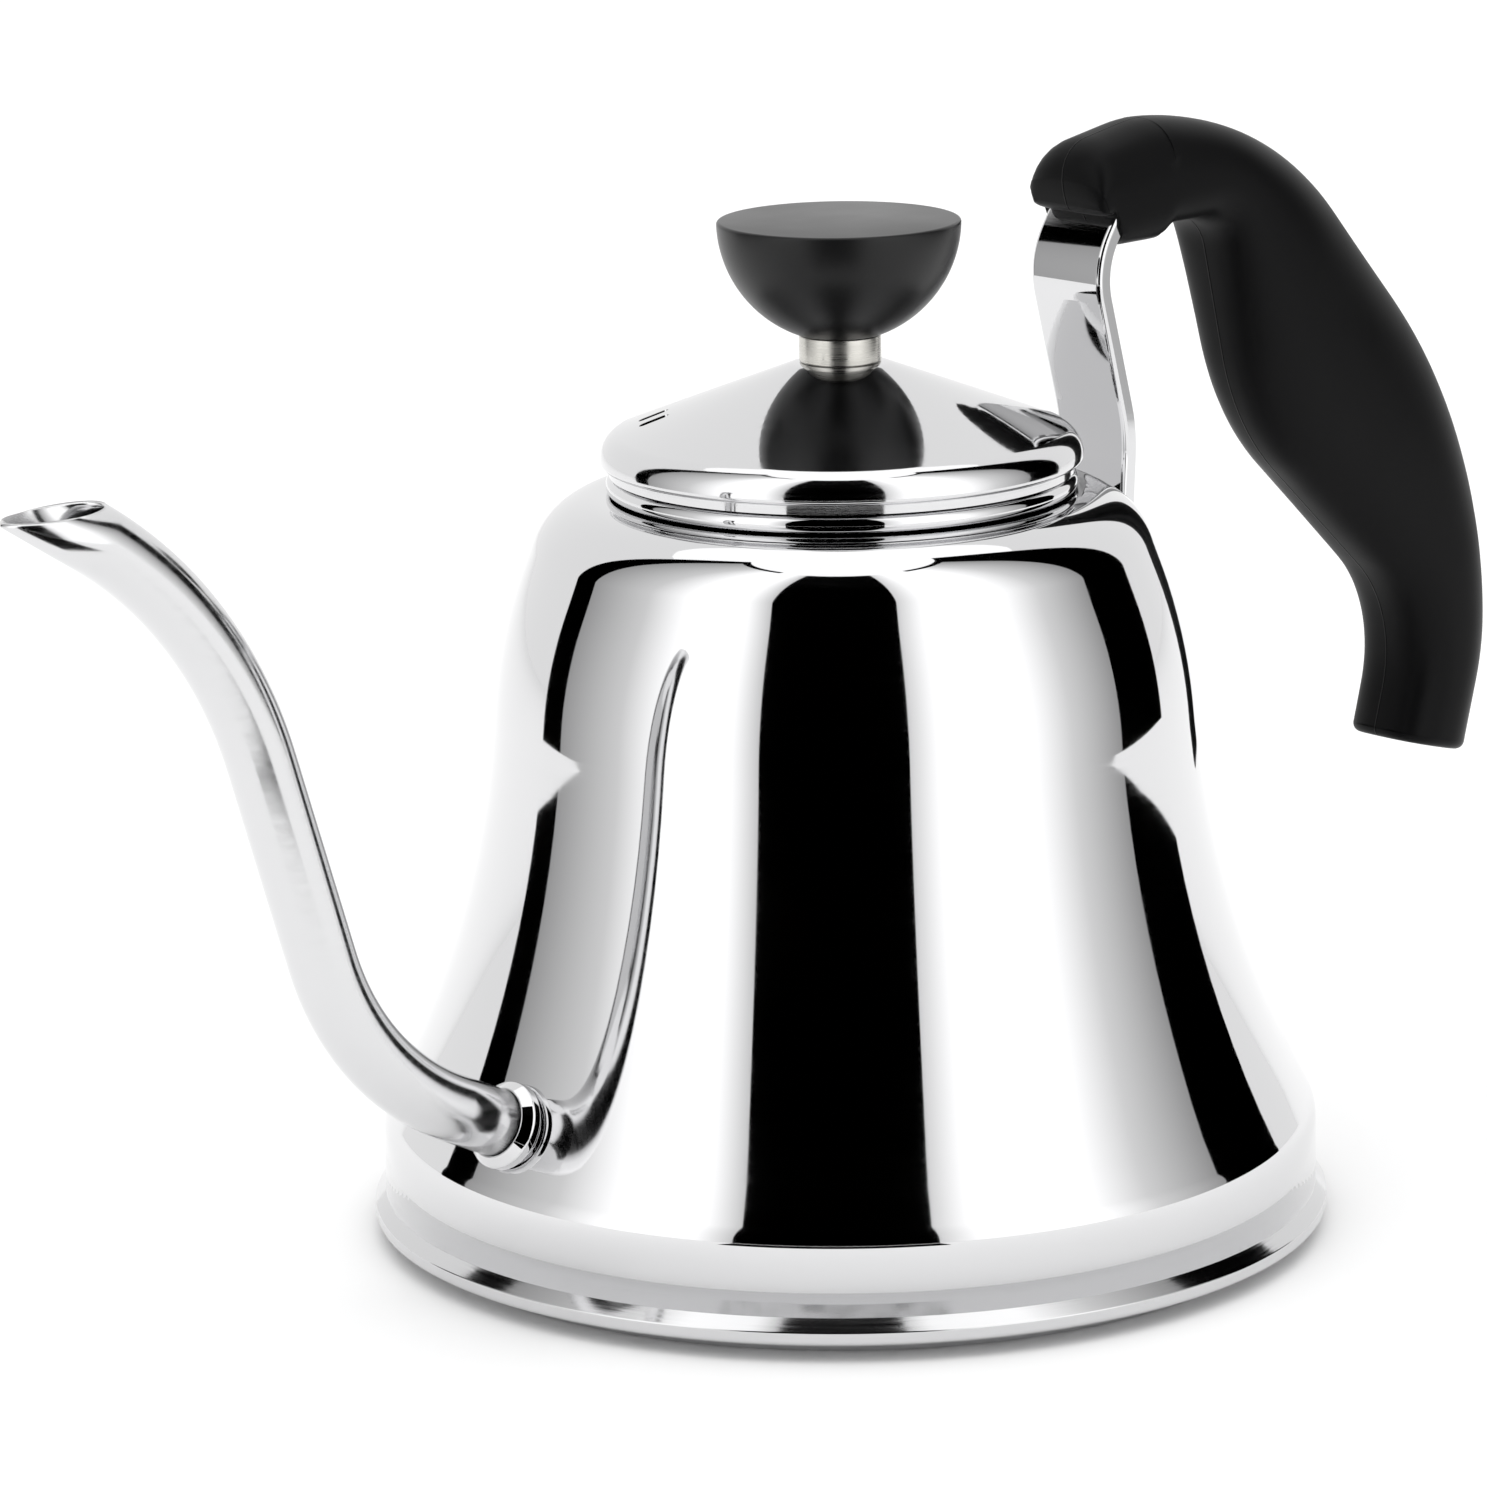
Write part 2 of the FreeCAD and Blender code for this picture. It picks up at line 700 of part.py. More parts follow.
def make_handle_bracket(form):
    """Pressed channel, welded to the upper wall, whose tongue bends back into the grip."""
    body = new_body("bracket_blank")
    path = sketch_on(body, "XZ_Plane")
    foot_top_z = foot_bottom + s.strap_foot_run
    outline(
        path,
        [
            (foot_x, foot_bottom),
            (foot_top_x, foot_top_z, s.strap_foot_bend),
            (hip_x, hip_z, s.strap_hip_bend),
            (neck_x, neck_z, s.strap_neck_bend),
            (tongue_x, tongue_z, s.strap_tongue_bend),
            (tongue_x + s.strap_tongue_run, tongue_z),
        ],
        closed=False,
    )
    lean = arc_tangent((foot_top_x - foot_x) / s.strap_foot_run)
    section = sketch_on(body, "XY_Plane", (foot_x, 0, foot_bottom), (0, 1, 0), lean)
    half = s.strap_width / 2
    inner = half - s.strap_flange_wall
    bend = s.strap_edge_round
    outline(
        section,
        [
            (0, -half, bend),
            (s.strap_flange, -half),
            (s.strap_flange, -inner),
            (s.strap_web, -inner),
            (s.strap_web, inner),
            (s.strap_flange, inner),
            (s.strap_flange, half),
            (0, half, bend),
        ],
    )
    doc.recompute()
    sweep(body, "AdditivePipe", path, section)
    hole = sketch_on(body, "XY_Plane", at=(handle_screw_x, 0, tongue_z + s.strap_web))
    circle(hole, screw_hole)
    pocket(body, hole, s.strap_flange * 2)
    return trim(body, form, "handle_bracket")


def grip_outline():
    """Corners of the grip's side view, from the start of the bracket's tongue."""
    shape = [
        (-5.6, -4.2, 1.0),
        (-6.4, 6.0, 5.0),
        (8.0, 9.4, 25.0),
        (34.0, 9.4, 55.0),
        (86.4, -48.9, 85.0),
        (86.4, -87.0, 40.0),
        (81.2, -104.7, 3.5),
        (64.6, -100.2, 3.5),
        (70.4, -79.5, 22.0),
        (31.5, -43.3, 40.0),
        (23.2, -7.3, 7.0),
        (10.5, -7.3, 2.5),
        (7.5, -9.3, 2.5),
        (-2.5, -9.3, None),
        (-2.5, -4.2, None),
    ]
    return [(tongue_x + x, tongue_z + z, radius) for x, z, radius in shape]


def make_handle_grip():
    """Moulded grip, slotted for the tongue and bored for its screw and insert."""
    body = new_body("handle_grip")
    side = sketch_on(body, "XZ_Plane")
    outline(side, grip_outline())
    block = pad(body, side, s.grip_width, both_ways=True)
    round_long_edges(body, block)
    cut_slot(body)
    seat = sketch_on(body, "XY_Plane", at=(handle_screw_x, 0, handle_seat_z))
    circle(seat, s.washer_radius + s.counterbore_play)
    pocket(body, seat, s.handle_seat_drop)
    shank = sketch_on(body, "XY_Plane", at=(handle_screw_x, 0, tongue_z))
    circle(shank, screw_hole)
    pocket(body, shank, s.handle_seat_drop)
    insert = sketch_on(body, "XY_Plane", at=(handle_screw_x, 0, tongue_z))
    circle(insert, s.insert_radius + s.seam_gap)
    pocket(body, insert, s.handle_insert_length + s.slot_play, upward=True)
    return body


def round_long_edges(body, block):
    """Round the edges between the grip's sides and its top, back and underside."""
    half = s.grip_width.value / 2
    names = []
    for number, edge in enumerate(block.Shape.Edges, start=1):
        box = edge.BoundBox
        on_side = box.YLength < 1e-6 and abs(abs(box.YMin) - half) < 1e-6
        if on_side:
            names.append(f"Edge{number}")
    fillet = body.newObject("PartDesign::Fillet", f"{body.Name}_fillet")
    fillet.Base = (block, names)
    bind(fillet, "Radius", s.grip_round)
    doc.recompute()


def cut_slot(body):
    """Clear the space that the bracket's upper end fills."""
    path = sketch_on(body, "XZ_Plane")
    start_x = neck_x + (tongue_x - neck_x) * s.slot_start
    start_z = neck_z + (tongue_z - neck_z) * s.slot_start
    end_x = tongue_x + s.strap_tongue_run + s.slot_play
    bend = s.strap_tongue_bend
    outline(path, [(start_x, start_z), (tongue_x, tongue_z, bend), (end_x, tongue_z)], closed=False)
    lean = arc_tangent((tongue_x - neck_x) / (tongue_z - neck_z))
    section = sketch_on(body, "XY_Plane", (start_x, 0, start_z), (0, 1, 0), lean)
    half = s.strap_width / 2 + s.slot_play
    rectangle(section, -s.slot_play, -half, s.strap_flange + s.slot_play, half)
    doc.recompute()
    before = body.Shape.Volume
    sweep(body, "SubtractivePipe", path, section)
    if not body.Shape.Volume < before:
        raise RuntimeError("the grip's slot cut nothing")


# ---------------------------------------------------------------- lid and knob


def make_lid_shell():
    """Spun lid with a rounded rim, a lip under it, a screw hole and two steam slots."""
    body = new_body("lid_shell")
    sketch = sketch_on(body, "XZ_Plane")
    outline(
        sketch,
        [
            (0, lip_bottom),
            (lip_radius, lip_bottom),
            (lip_radius, rim_bottom),
            (rim_radius, rim_bottom, s.lid_rim_round),
            (rim_radius, rim_bottom + s.lid_eave, s.lid_eave_round),
            (s.lid_land, lid_top, s.lid_land),
            (0, lid_top),
        ],
    )
    solid = revolve(body, sketch)
    hollow(body, solid, s.lid_wall, flat_face_at(solid.Shape, lip_bottom))
    hole = sketch_on(body, "XY_Plane", at=(0, 0, lid_top + s.cut_clearance))
    circle(hole, screw_hole)
    pocket(body, hole, s.lid_height)
    for side in (-1, 1):
        cut_vent(body, side)
    return body


def cut_vent(body, side):
    """One steam slot, which runs outwards from the knob."""
    vent = sketch_on(body, "XY_Plane", at=(0, 0, lid_top), turn=s.vent_azimuth)
    middle = s.vent_spacing / 2 * side
    near = s.vent_radius - s.vent_length / 2
    far = s.vent_radius + s.vent_length / 2
    low = middle - s.vent_width / 2
    high = middle + s.vent_width / 2
    end = s.vent_end_round
    outline(vent, [(near, low, end), (far, low, end), (far, high, end), (near, high, end)])
    pocket(body, vent, s.lid_height)


def make_lid_skirt():
    """Ring fixed inside the lip, which keeps the lid in the mouth."""
    outside = ring_bore - s.skirt_play
    flange = lip_radius - s.lid_wall - s.seam_gap
    bottom = lip_bottom - s.skirt_depth
    return lathe(
        "lid_skirt",
        [
            (outside - s.lid_wall, bottom),
            (outside, bottom),
            (outside, lip_bottom),
            (flange, lip_bottom),
            (flange, lip_bottom + s.lid_wall),
            (outside - s.lid_wall, lip_bottom + s.lid_wall),
        ],
    )


def make_lid_knob():
    """Half ball with a flat top, hollowed for its threaded insert."""
    body = new_body("lid_knob")
    ball = body.newObject("PartDesign::AdditiveSphere", "lid_knob_ball")
    bind(ball, "Radius", s.knob_radius)
    bind(ball, "Angle1", -arc_sine(s.knob_height / s.knob_radius))
    bind(ball, "Placement.Base.z", knob_top)
    ball.Angle2 = 0
    doc.recompute()
    top = flat_face_at(ball.Shape, knob_top)
    bevel = body.newObject("PartDesign::Chamfer", "lid_knob_bevel")
    bevel.Base = (ball, [top])
    bind(bevel, "Size", s.knob_bevel)
    doc.recompute()
    socket = sketch_on(body, "XY_Plane", at=(0, 0, knob_bottom))
    circle(socket, s.insert_radius + s.seam_gap)
    pocket(body, socket, s.knob_insert_length, upward=True)
    return body


# ---------------------------------------------------------------- hardware


def make_screw(name, x, seat, length):
    """Pan-head screw with a cross recess, driven upwards from its seat."""
    body = lathe(
        name,
        [
            (0, -s.head_height),
            (s.head_radius, -s.head_height, s.head_round),
            (s.head_radius, 0),
            (s.screw_radius, 0),
            (s.screw_radius, length, s.point_round),
            (0, length),
        ],
    )
    cross = sketch_on(body, "XY_Plane", at=(0, 0, -s.head_height))
    arm = s.recess_width / 2
    tip = s.recess_length / 2
    quarter = [(tip, -arm), (tip, arm), (arm, arm), (arm, tip), (-arm, tip), (-arm, arm)]
    outline(cross, quarter + [(-x, -y) for x, y in quarter])
    pocket(body, cross, s.recess_depth, upward=True)
    raise_to(body, x, seat)
    return body


def make_washer(name, x, bottom):
    body = tube(name, 0, s.washer_thickness, screw_hole, s.washer_radius)
    raise_to(body, x, bottom)
    return body


def make_lock_washer(name, x, bottom):
    """Spring washer with its split."""
    body = tube(name, 0, s.lock_thickness, screw_hole, s.lock_radius)
    split = sketch_on(body, "XY_Plane")
    gap = s.lock_split / 2
    rectangle(split, 0, -gap, s.lock_radius * 2, gap)
    pocket(body, split, s.lock_thickness, upward=True)
    raise_to(body, x, bottom)
    return body


def make_insert(name, x, bottom, length):
    """Brass sleeve with the thread that holds a screw."""
    body = tube(name, 0, length, s.screw_radius + s.thread_play, s.insert_radius)
    raise_to(body, x, bottom)
    return body


def make_knob_hardware():
    """Screw and washers under the lid, and the insert that they pull on."""
    washer_bottom = lid_top - s.lid_wall - s.washer_thickness
    lock_bottom = washer_bottom - s.lock_thickness
    length = knob_bottom + s.knob_insert_length - s.thread_end - lock_bottom
    return [
        make_washer("knob_washer", 0, washer_bottom),
        make_lock_washer("knob_lock_washer", 0, lock_bottom),
        make_screw("knob_screw", 0, lock_bottom, length),
        make_insert("knob_insert", 0, knob_bottom, s.knob_insert_length),
    ]


def make_handle_hardware():
    """Screw and washer in the grip's underside, and the insert above the tongue."""
    washer_bottom = handle_seat_z - s.washer_thickness
    insert_bottom = tongue_z + s.slot_play
    length = insert_bottom + s.handle_insert_length - s.thread_end - washer_bottom
    return [
        make_washer("handle_washer", handle_screw_x, washer_bottom),
        make_screw("handle_screw", handle_screw_x, washer_bottom, length),
        make_insert("handle_insert", handle_screw_x, insert_bottom, s.handle_insert_length),
    ]


# ---------------------------------------------------------------- build, check and write


def build():
    form = make_bell_form()
    parts = [
        make_body_shell(),
        make_mouth_ring(),
        make_vessel_floor(),
        make_heat_spreader(),
        make_base_cap(),
        make_spout_tube(),
        make_spout_collar(form),
        make_handle_bracket(form),
        make_handle_grip(),
        make_lid_shell(),
        make_lid_skirt(),
        tube("knob_ferrule", lid_top, knob_bottom, screw_hole, s.ferrule_radius, s.ferrule_round),
        make_lid_knob(),
    ]
    return parts + make_handle_hardware() + make_knob_hardware()


def check(parts):
    """Stop if any object failed, or any sub-part isn't one valid solid."""
    for thing in doc.Objects:
        if {"Invalid", "Error"} & set(thing.State):
            raise RuntimeError(f"{thing.Name} failed: {thing.State}")
    for part in parts:
        shape = part.Shape
        if shape.isNull() or not shape.isValid() or len(shape.Solids) != 1:
            raise RuntimeError(f"{part.Label} isn't one valid solid")


parts = build()
doc.recompute()
check(parts)
os.makedirs("parts", exist_ok=True)
for part in parts:
    part.Shape.exportStep(f"parts/{part.Label}.step")
    print(f"{part.Label}: {part.Shape.Volume:.1f} mm3")
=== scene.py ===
import math

import bpy
from bpy.props import FloatProperty, FloatVectorProperty, PointerProperty
from mathutils import Matrix, Vector


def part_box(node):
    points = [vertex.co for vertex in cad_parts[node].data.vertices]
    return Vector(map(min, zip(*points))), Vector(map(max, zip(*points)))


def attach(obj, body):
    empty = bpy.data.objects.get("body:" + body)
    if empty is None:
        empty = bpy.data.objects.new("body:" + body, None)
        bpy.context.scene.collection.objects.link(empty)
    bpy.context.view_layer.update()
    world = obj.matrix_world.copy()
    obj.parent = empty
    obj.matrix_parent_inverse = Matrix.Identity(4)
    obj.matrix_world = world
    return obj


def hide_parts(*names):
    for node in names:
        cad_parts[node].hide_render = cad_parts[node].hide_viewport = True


bl_info = {
    "name": "Gooseneck kettle",
    "version": (1, 0, 0),
    "blender": (4, 5, 0),
    "location": "3D View > Sidebar > Kettle",
    "description": "Models and finishes a polished gooseneck kettle on its fixed frame",
    "category": "Object",
}

# The frame's axes: origin under the middle of the base, Z up, the spout towards -X, the handle towards +X.
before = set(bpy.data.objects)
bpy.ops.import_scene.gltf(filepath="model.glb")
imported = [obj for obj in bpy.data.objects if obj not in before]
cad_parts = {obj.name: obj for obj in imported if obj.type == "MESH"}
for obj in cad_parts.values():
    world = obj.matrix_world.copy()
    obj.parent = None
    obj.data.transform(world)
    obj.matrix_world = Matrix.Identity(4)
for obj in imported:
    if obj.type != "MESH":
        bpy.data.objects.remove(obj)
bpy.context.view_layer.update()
MM = 0.001
FULL_TURN = 2 * math.pi
SMOOTH_BELOW = math.radians(30)


# ---------------------------------------------------------------- sizes and colours

def length(name, description, millimetres):
    """A length property, given in millimetres."""
    size = millimetres * MM
    return FloatProperty(name=name, description=description, default=size, unit="LENGTH", precision=5)


def angle(name, description, degrees):
    """An angle property, given in degrees."""
    return FloatProperty(name=name, description=description, default=math.radians(degrees), subtype="ANGLE")


def linear(hex_colour):
    """An sRGB hex colour as linear red, green, blue and alpha."""
    channels = [int(hex_colour[i:i + 2], 16) / 255 for i in (1, 3, 5)]
    return [c / 12.92 if c <= 0.04045 else ((c + 0.055) / 1.055) ** 2.4 for c in channels] + [1.0]


def colour(name, description, hex_colour):
    """A colour property, given in sRGB hex."""
    return FloatVectorProperty(
        name=name, description=description, default=linear(hex_colour), size=4, subtype="COLOR", min=0, max=1
    )


def ratio(name, description, value):
    """A plain number."""
    return FloatProperty(name=name, description=description, default=value)


def metres(name, description, value):
    """A length property of the studio, given in metres."""
    return FloatProperty(name=name, description=description, default=value, unit="LENGTH")


class VesselSizes(bpy.types.PropertyGroup):
    """The bell, its mouth ring and its base."""

    wall: length("Wall", "Sheet of the bell", 0.8)
    seam: length("Seam", "Height of the seam between bell and base", 6.5)
    band_radius: length("Band radius", "Upright band above the seam", 73.0)
    band_top: length("Band top", "Height where the band turns into the flare", 18.2)
    band_round: length("Band rounding", "Rounding at the top of the band", 8.0)
    waist_radius: length("Waist radius", "Corner between flare and upper wall", 56.74)
    waist_height: length("Waist height", "Height of that corner", 51.56)
    waist_round: length("Waist rounding", "Long hollow curve at that corner", 155.0)
    shoulder_radius: length("Shoulder radius", "Corner where the wall turns in", 53.43)
    shoulder_height: length("Shoulder height", "Height of that corner", 93.7)
    shoulder_round: length("Shoulder rounding", "Curve at that corner", 80.0)
    crown_radius: length("Crown radius", "Last corner before the mouth", 44.9)
    crown_round: length("Crown rounding", "Curve at that corner", 12.0)
    top: length("Top", "Height of the bell", 116.0)
    mouth_radius: length("Mouth radius", "Hole in the bell", 34.7)
    ring_bore: length("Ring bore", "Inside of the mouth ring", 33.4)
    ring_radius: length("Ring radius", "Bead of the mouth ring", 36.3)
    ring_round: length("Ring rounding", "Rounding of the bead", 1.4)
    ring_edge: length("Ring edge", "Rounding at the top of its bore", 0.6)
    ring_gap: length("Ring gap", "Between the ring and the bell's hole", 0.05)
    hem_radius: length("Hem radius", "Rolled hem of the base", 74.72)
    hem_bottom: length("Hem bottom", "Lower edge of the hem", 2.5)
    hem_width: length("Hem width", "From its face to the floor sheet", 3.4)
    hem_inside: length("Hem inside", "Rounding of its inner lower edge", 0.6)
    hem_round: length("Hem rounding", "Rounding of the hem's lower edge", 0.9)
    hem_shoulder: length("Hem shoulder", "Height where the hem's sloping top meets its face", 4.7)
    hem_edge: length("Hem edge", "Rounding of that edge", 0.35)
    floor_bottom: length("Floor", "Underside of the floor sheet", 3.6)
    spigot_radius: length("Spigot radius", "Inside of the base's spigot", 71.35)
    spigot_top: length("Spigot top", "Top of the base's spigot", 9.1)
    spigot_round: length("Spigot rounding", "Between the spigot and the floor sheet", 1.0)


class LidSizes(bpy.types.PropertyGroup):
    """The lid's shell, vents, ferrule and knob."""

    wall: length("Wall", "Lid sheet", 0.7)
    lip_radius: length("Lip radius", "Lip that sits on the mouth ring", 35.8)
    lip_bottom: length("Lip bottom", "Lower edge of the lip", 119.15)
    rim_radius: length("Rim radius", "Outermost edge", 37.2)
    rim_bottom: length("Rim bottom", "Underside of the rim", 120.6)
    rim_round: length("Rim rounding", "Rounding of the rim's lower edge", 0.85)
    eave: length("Eave", "Height of the rim's upper corner", 124.6)
    eave_round: length("Eave rounding", "Rounding of that corner", 4.4)
    land_radius: length("Land", "Flat under the ferrule", 6.9)
    top: length("Top", "Top of the lid sheet", 136.1)
    screw_hole: length("Screw hole", "Hole under the ferrule", 2.2)
    vent_radius: length("Vent radius", "Middle of the steam slots from the knob", 28.7)
    vent_azimuth: angle("Vent azimuth", "Direction of the steam slots from +X", 140.5)
    vent_spacing: length("Vent spacing", "From one slot to the other", 4.2)
    vent_length: length("Vent length", "Length of a slot", 4.6)
    vent_width: length("Vent width", "Width of a slot", 1.7)
    vent_round: length("Vent rounding", "Rounded ends of a slot", 0.833)
    ferrule_radius: length("Ferrule radius", "Ring under the knob", 6.3)
    ferrule_round: length("Ferrule edge", "Broken edges of the ring", 0.3)
    knob_radius: length("Knob radius", "Half ball", 18.7)
    knob_bevel: length("Knob bevel", "Edge of the knob's flat top", 0.5)


class SpoutSizes(bpy.types.PropertyGroup):
    """The gooseneck tube, along its centre line."""

    radius: length("Radius", "Outside of the tube", 5.15)
    wall: length("Wall", "Tube wall", 0.8)
    root_out: length("Root out", "Centre line at the bell, from the axis", 68.22)
    root_height: length("Root height", "Height of that point", 28.0)
    inset: length("Inset", "Tube inside the bell's face", 1.6)
    lower_out: length("Lower bend out", "Corner of the lower bend, from the axis", 97.17)
    lower_height: length("Lower bend height", "Height of that corner", 42.11)
    lower_round: length("Lower bend", "Radius of the lower bend", 45.0)
    upper_out: length("Upper bend out", "Corner of the upper bend, from the axis", 120.07)
    upper_height: length("Upper bend height", "Height of that corner", 115.51)
    upper_round: length("Upper bend", "Radius of the upper bend", 68.0)
    mouth_out: length("Mouth out", "Middle of the mouth, from the axis", 147.58)
    mouth_height: length("Mouth height", "Height of that point", 133.37)
    collar_gap: length("Collar gap", "Between the tube and the collar", 0.05)
    collar_sleeve: length("Collar sleeve", "Wall of the sleeve over the weld", 0.75)
    collar_sink: length("Collar sink", "Sleeve inside the bell's face", 0.6)
    collar_foot: length("Collar foot", "Sleeve between the bell and the bead", 0.35)
    collar_taper: length("Collar taper", "Cone outside the bead", 1.2)
    collar_tip: length("Collar tip", "Wall at the cone's end", 0.22)
    bead_height: length("Bead height", "Bead above the sleeve", 0.8)
    bead_width: length("Bead width", "Along the spout", 1.7)
    bead_round: length("Bead rounding", "Rounding of the bead", 0.6)
    cut_slope: angle("Cut", "Slope of the mouth's cut, down towards the front", 4.3)


class GripSizes(bpy.types.PropertyGroup):
    """The moulded grip, whose lines are placed from the start of the bracket's tongue."""

    tongue_out: length("Tongue out", "Start of the tongue, from the axis", 54.23)
    tongue_height: length("Tongue height", "Height of that point", 157.5)
    nose_half: length("Nose", "Half the width at the nose", 8.5)
    palm_half: length("Palm", "Half the width in the palm", 10.0)
    tail_half: length("Tail", "Half the width at the free end", 8.8)
    end_round: length("End rounding", "Rounding of the nose and of the free end", 1.5)
    crest: ratio("Crest", "Squareness of the outer side: 2 is an ellipse", 2.3)
    belly: ratio("Belly", "Squareness of the side under the fingers", 2.7)
    seat: ratio("Seat", "Squareness of the underside at the bracket", 6.0)
    screw_out: length("Screw out", "Fixing screw, from the axis", 57.73)
    bore_radius: length("Counterbore", "Clears the screw's washer", 4.8)
    bore_depth: length("Counterbore cutter", "Height of the cutter, past the grip's underside", 20.0)
    palm_start: ratio("Palm start", "Where the palm is widest, as a share of the grip's length", 0.4)
    palm_end: ratio("Palm end", "Where the palm starts to narrow", 0.6)
    seat_end: ratio("Seat end", "Where the underside stops being square", 0.28)


class StudioSizes(bpy.types.PropertyGroup):
    """The camera and the lights around the kettle."""

    camera_azimuth: angle("Camera azimuth", "Direction that the camera looks in, from +Y towards -X", -42.0)
    camera_distance: metres("Camera distance", "From the kettle's axis", 1.0)
    camera_height: length("Camera height", "Above the floor", 313.3)
    camera_tilt: angle("Camera tilt", "Below the horizon", 13.344)
    camera_pan: angle("Camera pan", "Turned aside from the axis", -0.902)
    camera_roll: angle("Camera roll", "Turned about the line of sight", -0.907)
    camera_lens: ratio("Lens", "Focal length in millimetres", 160.46)
    screen_distance: metres("Screen distance", "Studio screens from the axis", 0.66)
    screen_foot: length("Screen foot", "Gap under the studio screens", 5.0)
    screen_top: metres("Screen top", "Top of the softboxes", 1.914)
    flag_top: metres("Flag top", "Top of the side flags and the valances", 2.112)
    card_start: metres("Card start", "Near edge of the black card on the floor, from the axis", 0.22)
    card_lift: length("Card lift", "Black card above the floor", 0.5)
    sail_height: metres("Sail height", "White sail and soft light overhead", 2.2)
    sail_radius: metres("Sail radius", "Radius of both", 1.5)
    floor_size: metres("Floor", "Side of the floor", 8.0)
    room_light: ratio("Room light", "Strength of the white room", 1.0)
    key_power: FloatProperty(
        name="Overhead light", description="Power of the overhead light", default=20.0, unit="POWER"
    )


class Finishes(bpy.types.PropertyGroup):
    """Colours of the kettle's materials."""

    polished_steel: colour("Polished steel", "Buffed stainless steel", "#D9D9DA")
    satin_steel: colour("Satin steel", "Stainless steel left as spun", "#CFCFD0")
    nickel: colour("Nickel", "Brushed nickel plate", "#CBC9C3")
    black_nylon: colour("Black nylon", "Moulded grip", "#070708")
    black_phenolic: colour("Black phenolic", "Moulded knob", "#0A0A0B")
    aluminium: colour("Aluminium", "Heat spreader", "#C4C7CA")
    brass: colour("Brass", "Turned inserts", "#C8A35A")
    zinc: colour("Zinc", "Plated screws and washers", "#BFC2C6")
    floor: colour("Floor", "Pale paper sweep", "#F7F7F7")


# ---------------------------------------------------------------- lines

def flat(corner):
    """A corner's place in the XZ plane."""
    return Vector((corner[0], 0, corner[1]))


def rounding(before, corner, after, step):
    """Points of the arc that rounds a corner, or the corner itself when it has no radius."""
    point = flat(corner)
    if len(corner) < 3:
        return [point]
    back = (flat(before) - point).normalized()
    ahead = (flat(after) - point).normalized()
    half = back.angle(ahead) / 2
    middle = point + (back + ahead).normalized() * corner[2] / math.sin(half)
    first = point + back * corner[2] / math.tan(half) - middle
    last = point + ahead * corner[2] / math.tan(half) - middle
    count = max(2, math.ceil((math.pi - 2 * half) / step))
    start, end = first.normalized(), last.normalized()
    return [middle + start.slerp(end, i / count) * corner[2] for i in range(count + 1)]


def rounded(corners, step=math.radians(2)):
    """The line through corners (x, z) or (x, z, radius) in the XZ plane, with the round ones rounded."""
    line = [flat(corners[0])]
    for before, corner, after in zip(corners, corners[1:], corners[2:]):
        line += rounding(before, corner, after, step)
    return line + [flat(corners[-1])]


# ---------------------------------------------------------------- modelling by hand

def deselect():
    """Object mode, with nothing selected."""
    if bpy.context.mode != "OBJECT":
        bpy.ops.object.mode_set(mode="OBJECT")
    bpy.ops.object.select_all(action="DESELECT")


def choose(piece):
    """Object mode, with one piece selected and active."""
    deselect()
    bpy.context.view_layer.objects.active = piece
    piece.select_set(True)


def named(name):
    """Names the new active object and its mesh."""
    piece = bpy.context.object
    piece.name = name
    piece.data.name = name
    return piece


def start_line(name, point):
    """A new object in edit mode that is one vertex."""
    deselect()
    bpy.ops.mesh.primitive_plane_add(size=MM, location=point)
    piece = named(name)
    bpy.ops.object.mode_set(mode="EDIT")
    bpy.ops.mesh.merge(type="CENTER")
    return piece


def extrude(step):
    """Extrudes what is selected by a step."""
    bpy.ops.mesh.extrude_region_move(TRANSFORM_OT_translate={"value": step})


def trace(points):
    """Extrudes the selected vertex from point to point."""
    for start, end in zip(points, points[1:]):
        extrude(end - start)


def tidy_skin():
    """Closes seams and poles, and turns every face outwards."""
    bpy.ops.mesh.select_all(action="SELECT")
    bpy.ops.mesh.remove_doubles(threshold=MM / 1000)
    bpy.ops.mesh.normals_make_consistent(inside=False)


def settle(piece):
    """Leaves edit mode with the piece's place in its mesh and its curved faces smooth."""
    choose(piece)
    bpy.ops.object.transform_apply(location=True, rotation=True, scale=True)
    bpy.ops.object.shade_smooth_by_angle(angle=SMOOTH_BELOW)
    return piece


def turned(name, line, segments=192):
    """A piece turned about the kettle's axis from its line in the XZ plane."""
    piece = start_line(name, line[0])
    trace(line)
    bpy.ops.mesh.select_all(action="SELECT")
    bpy.ops.mesh.spin(steps=segments, angle=FULL_TURN, center=(0, 0, 0), axis=(0, 0, 1))
    tidy_skin()
    return settle(piece)


def modified(piece, kind, **settings):
    """Adds a modifier and applies it."""
    choose(piece)
    modifier = piece.modifiers.new(kind.title(), kind)
    for name, value in settings.items():
        setattr(modifier, name, value)
    bpy.ops.object.modifier_apply(modifier=modifier.name)
    return piece


def place(piece, body, slot, material, *nodes):
    """Gives a finished piece its body, its finish and the nodes that it stands for."""
    piece.data.materials.clear()
    piece.data.materials.append(material)
    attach(piece, body)
    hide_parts(*nodes)


def finish_nodes(material, *nodes):
    """Gives frame nodes a material."""
    for node in nodes:
        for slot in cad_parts[node].material_slots:
            slot.material = material


# ---------------------------------------------------------------- materials

def add_node(tree, kind, settings=None, values=None, links=None):
    """Adds a node: its own settings, the values of its sockets, and the outputs linked into them."""
    made = tree.nodes.new(kind)
    for name, value in (settings or {}).items():
        setattr(made, name, value)
    for socket, value in (values or {}).items():
        made.inputs[socket].default_value = value
    for socket, (source, output) in (links or {}).items():
        tree.links.new(source.outputs[output], made.inputs[socket])
    return made


def new_material(name):
    """An empty node material."""
    material = bpy.data.materials.get(name) or bpy.data.materials.new(name)
    material.use_nodes = True
    material.node_tree.nodes.clear()
    return material, material.node_tree


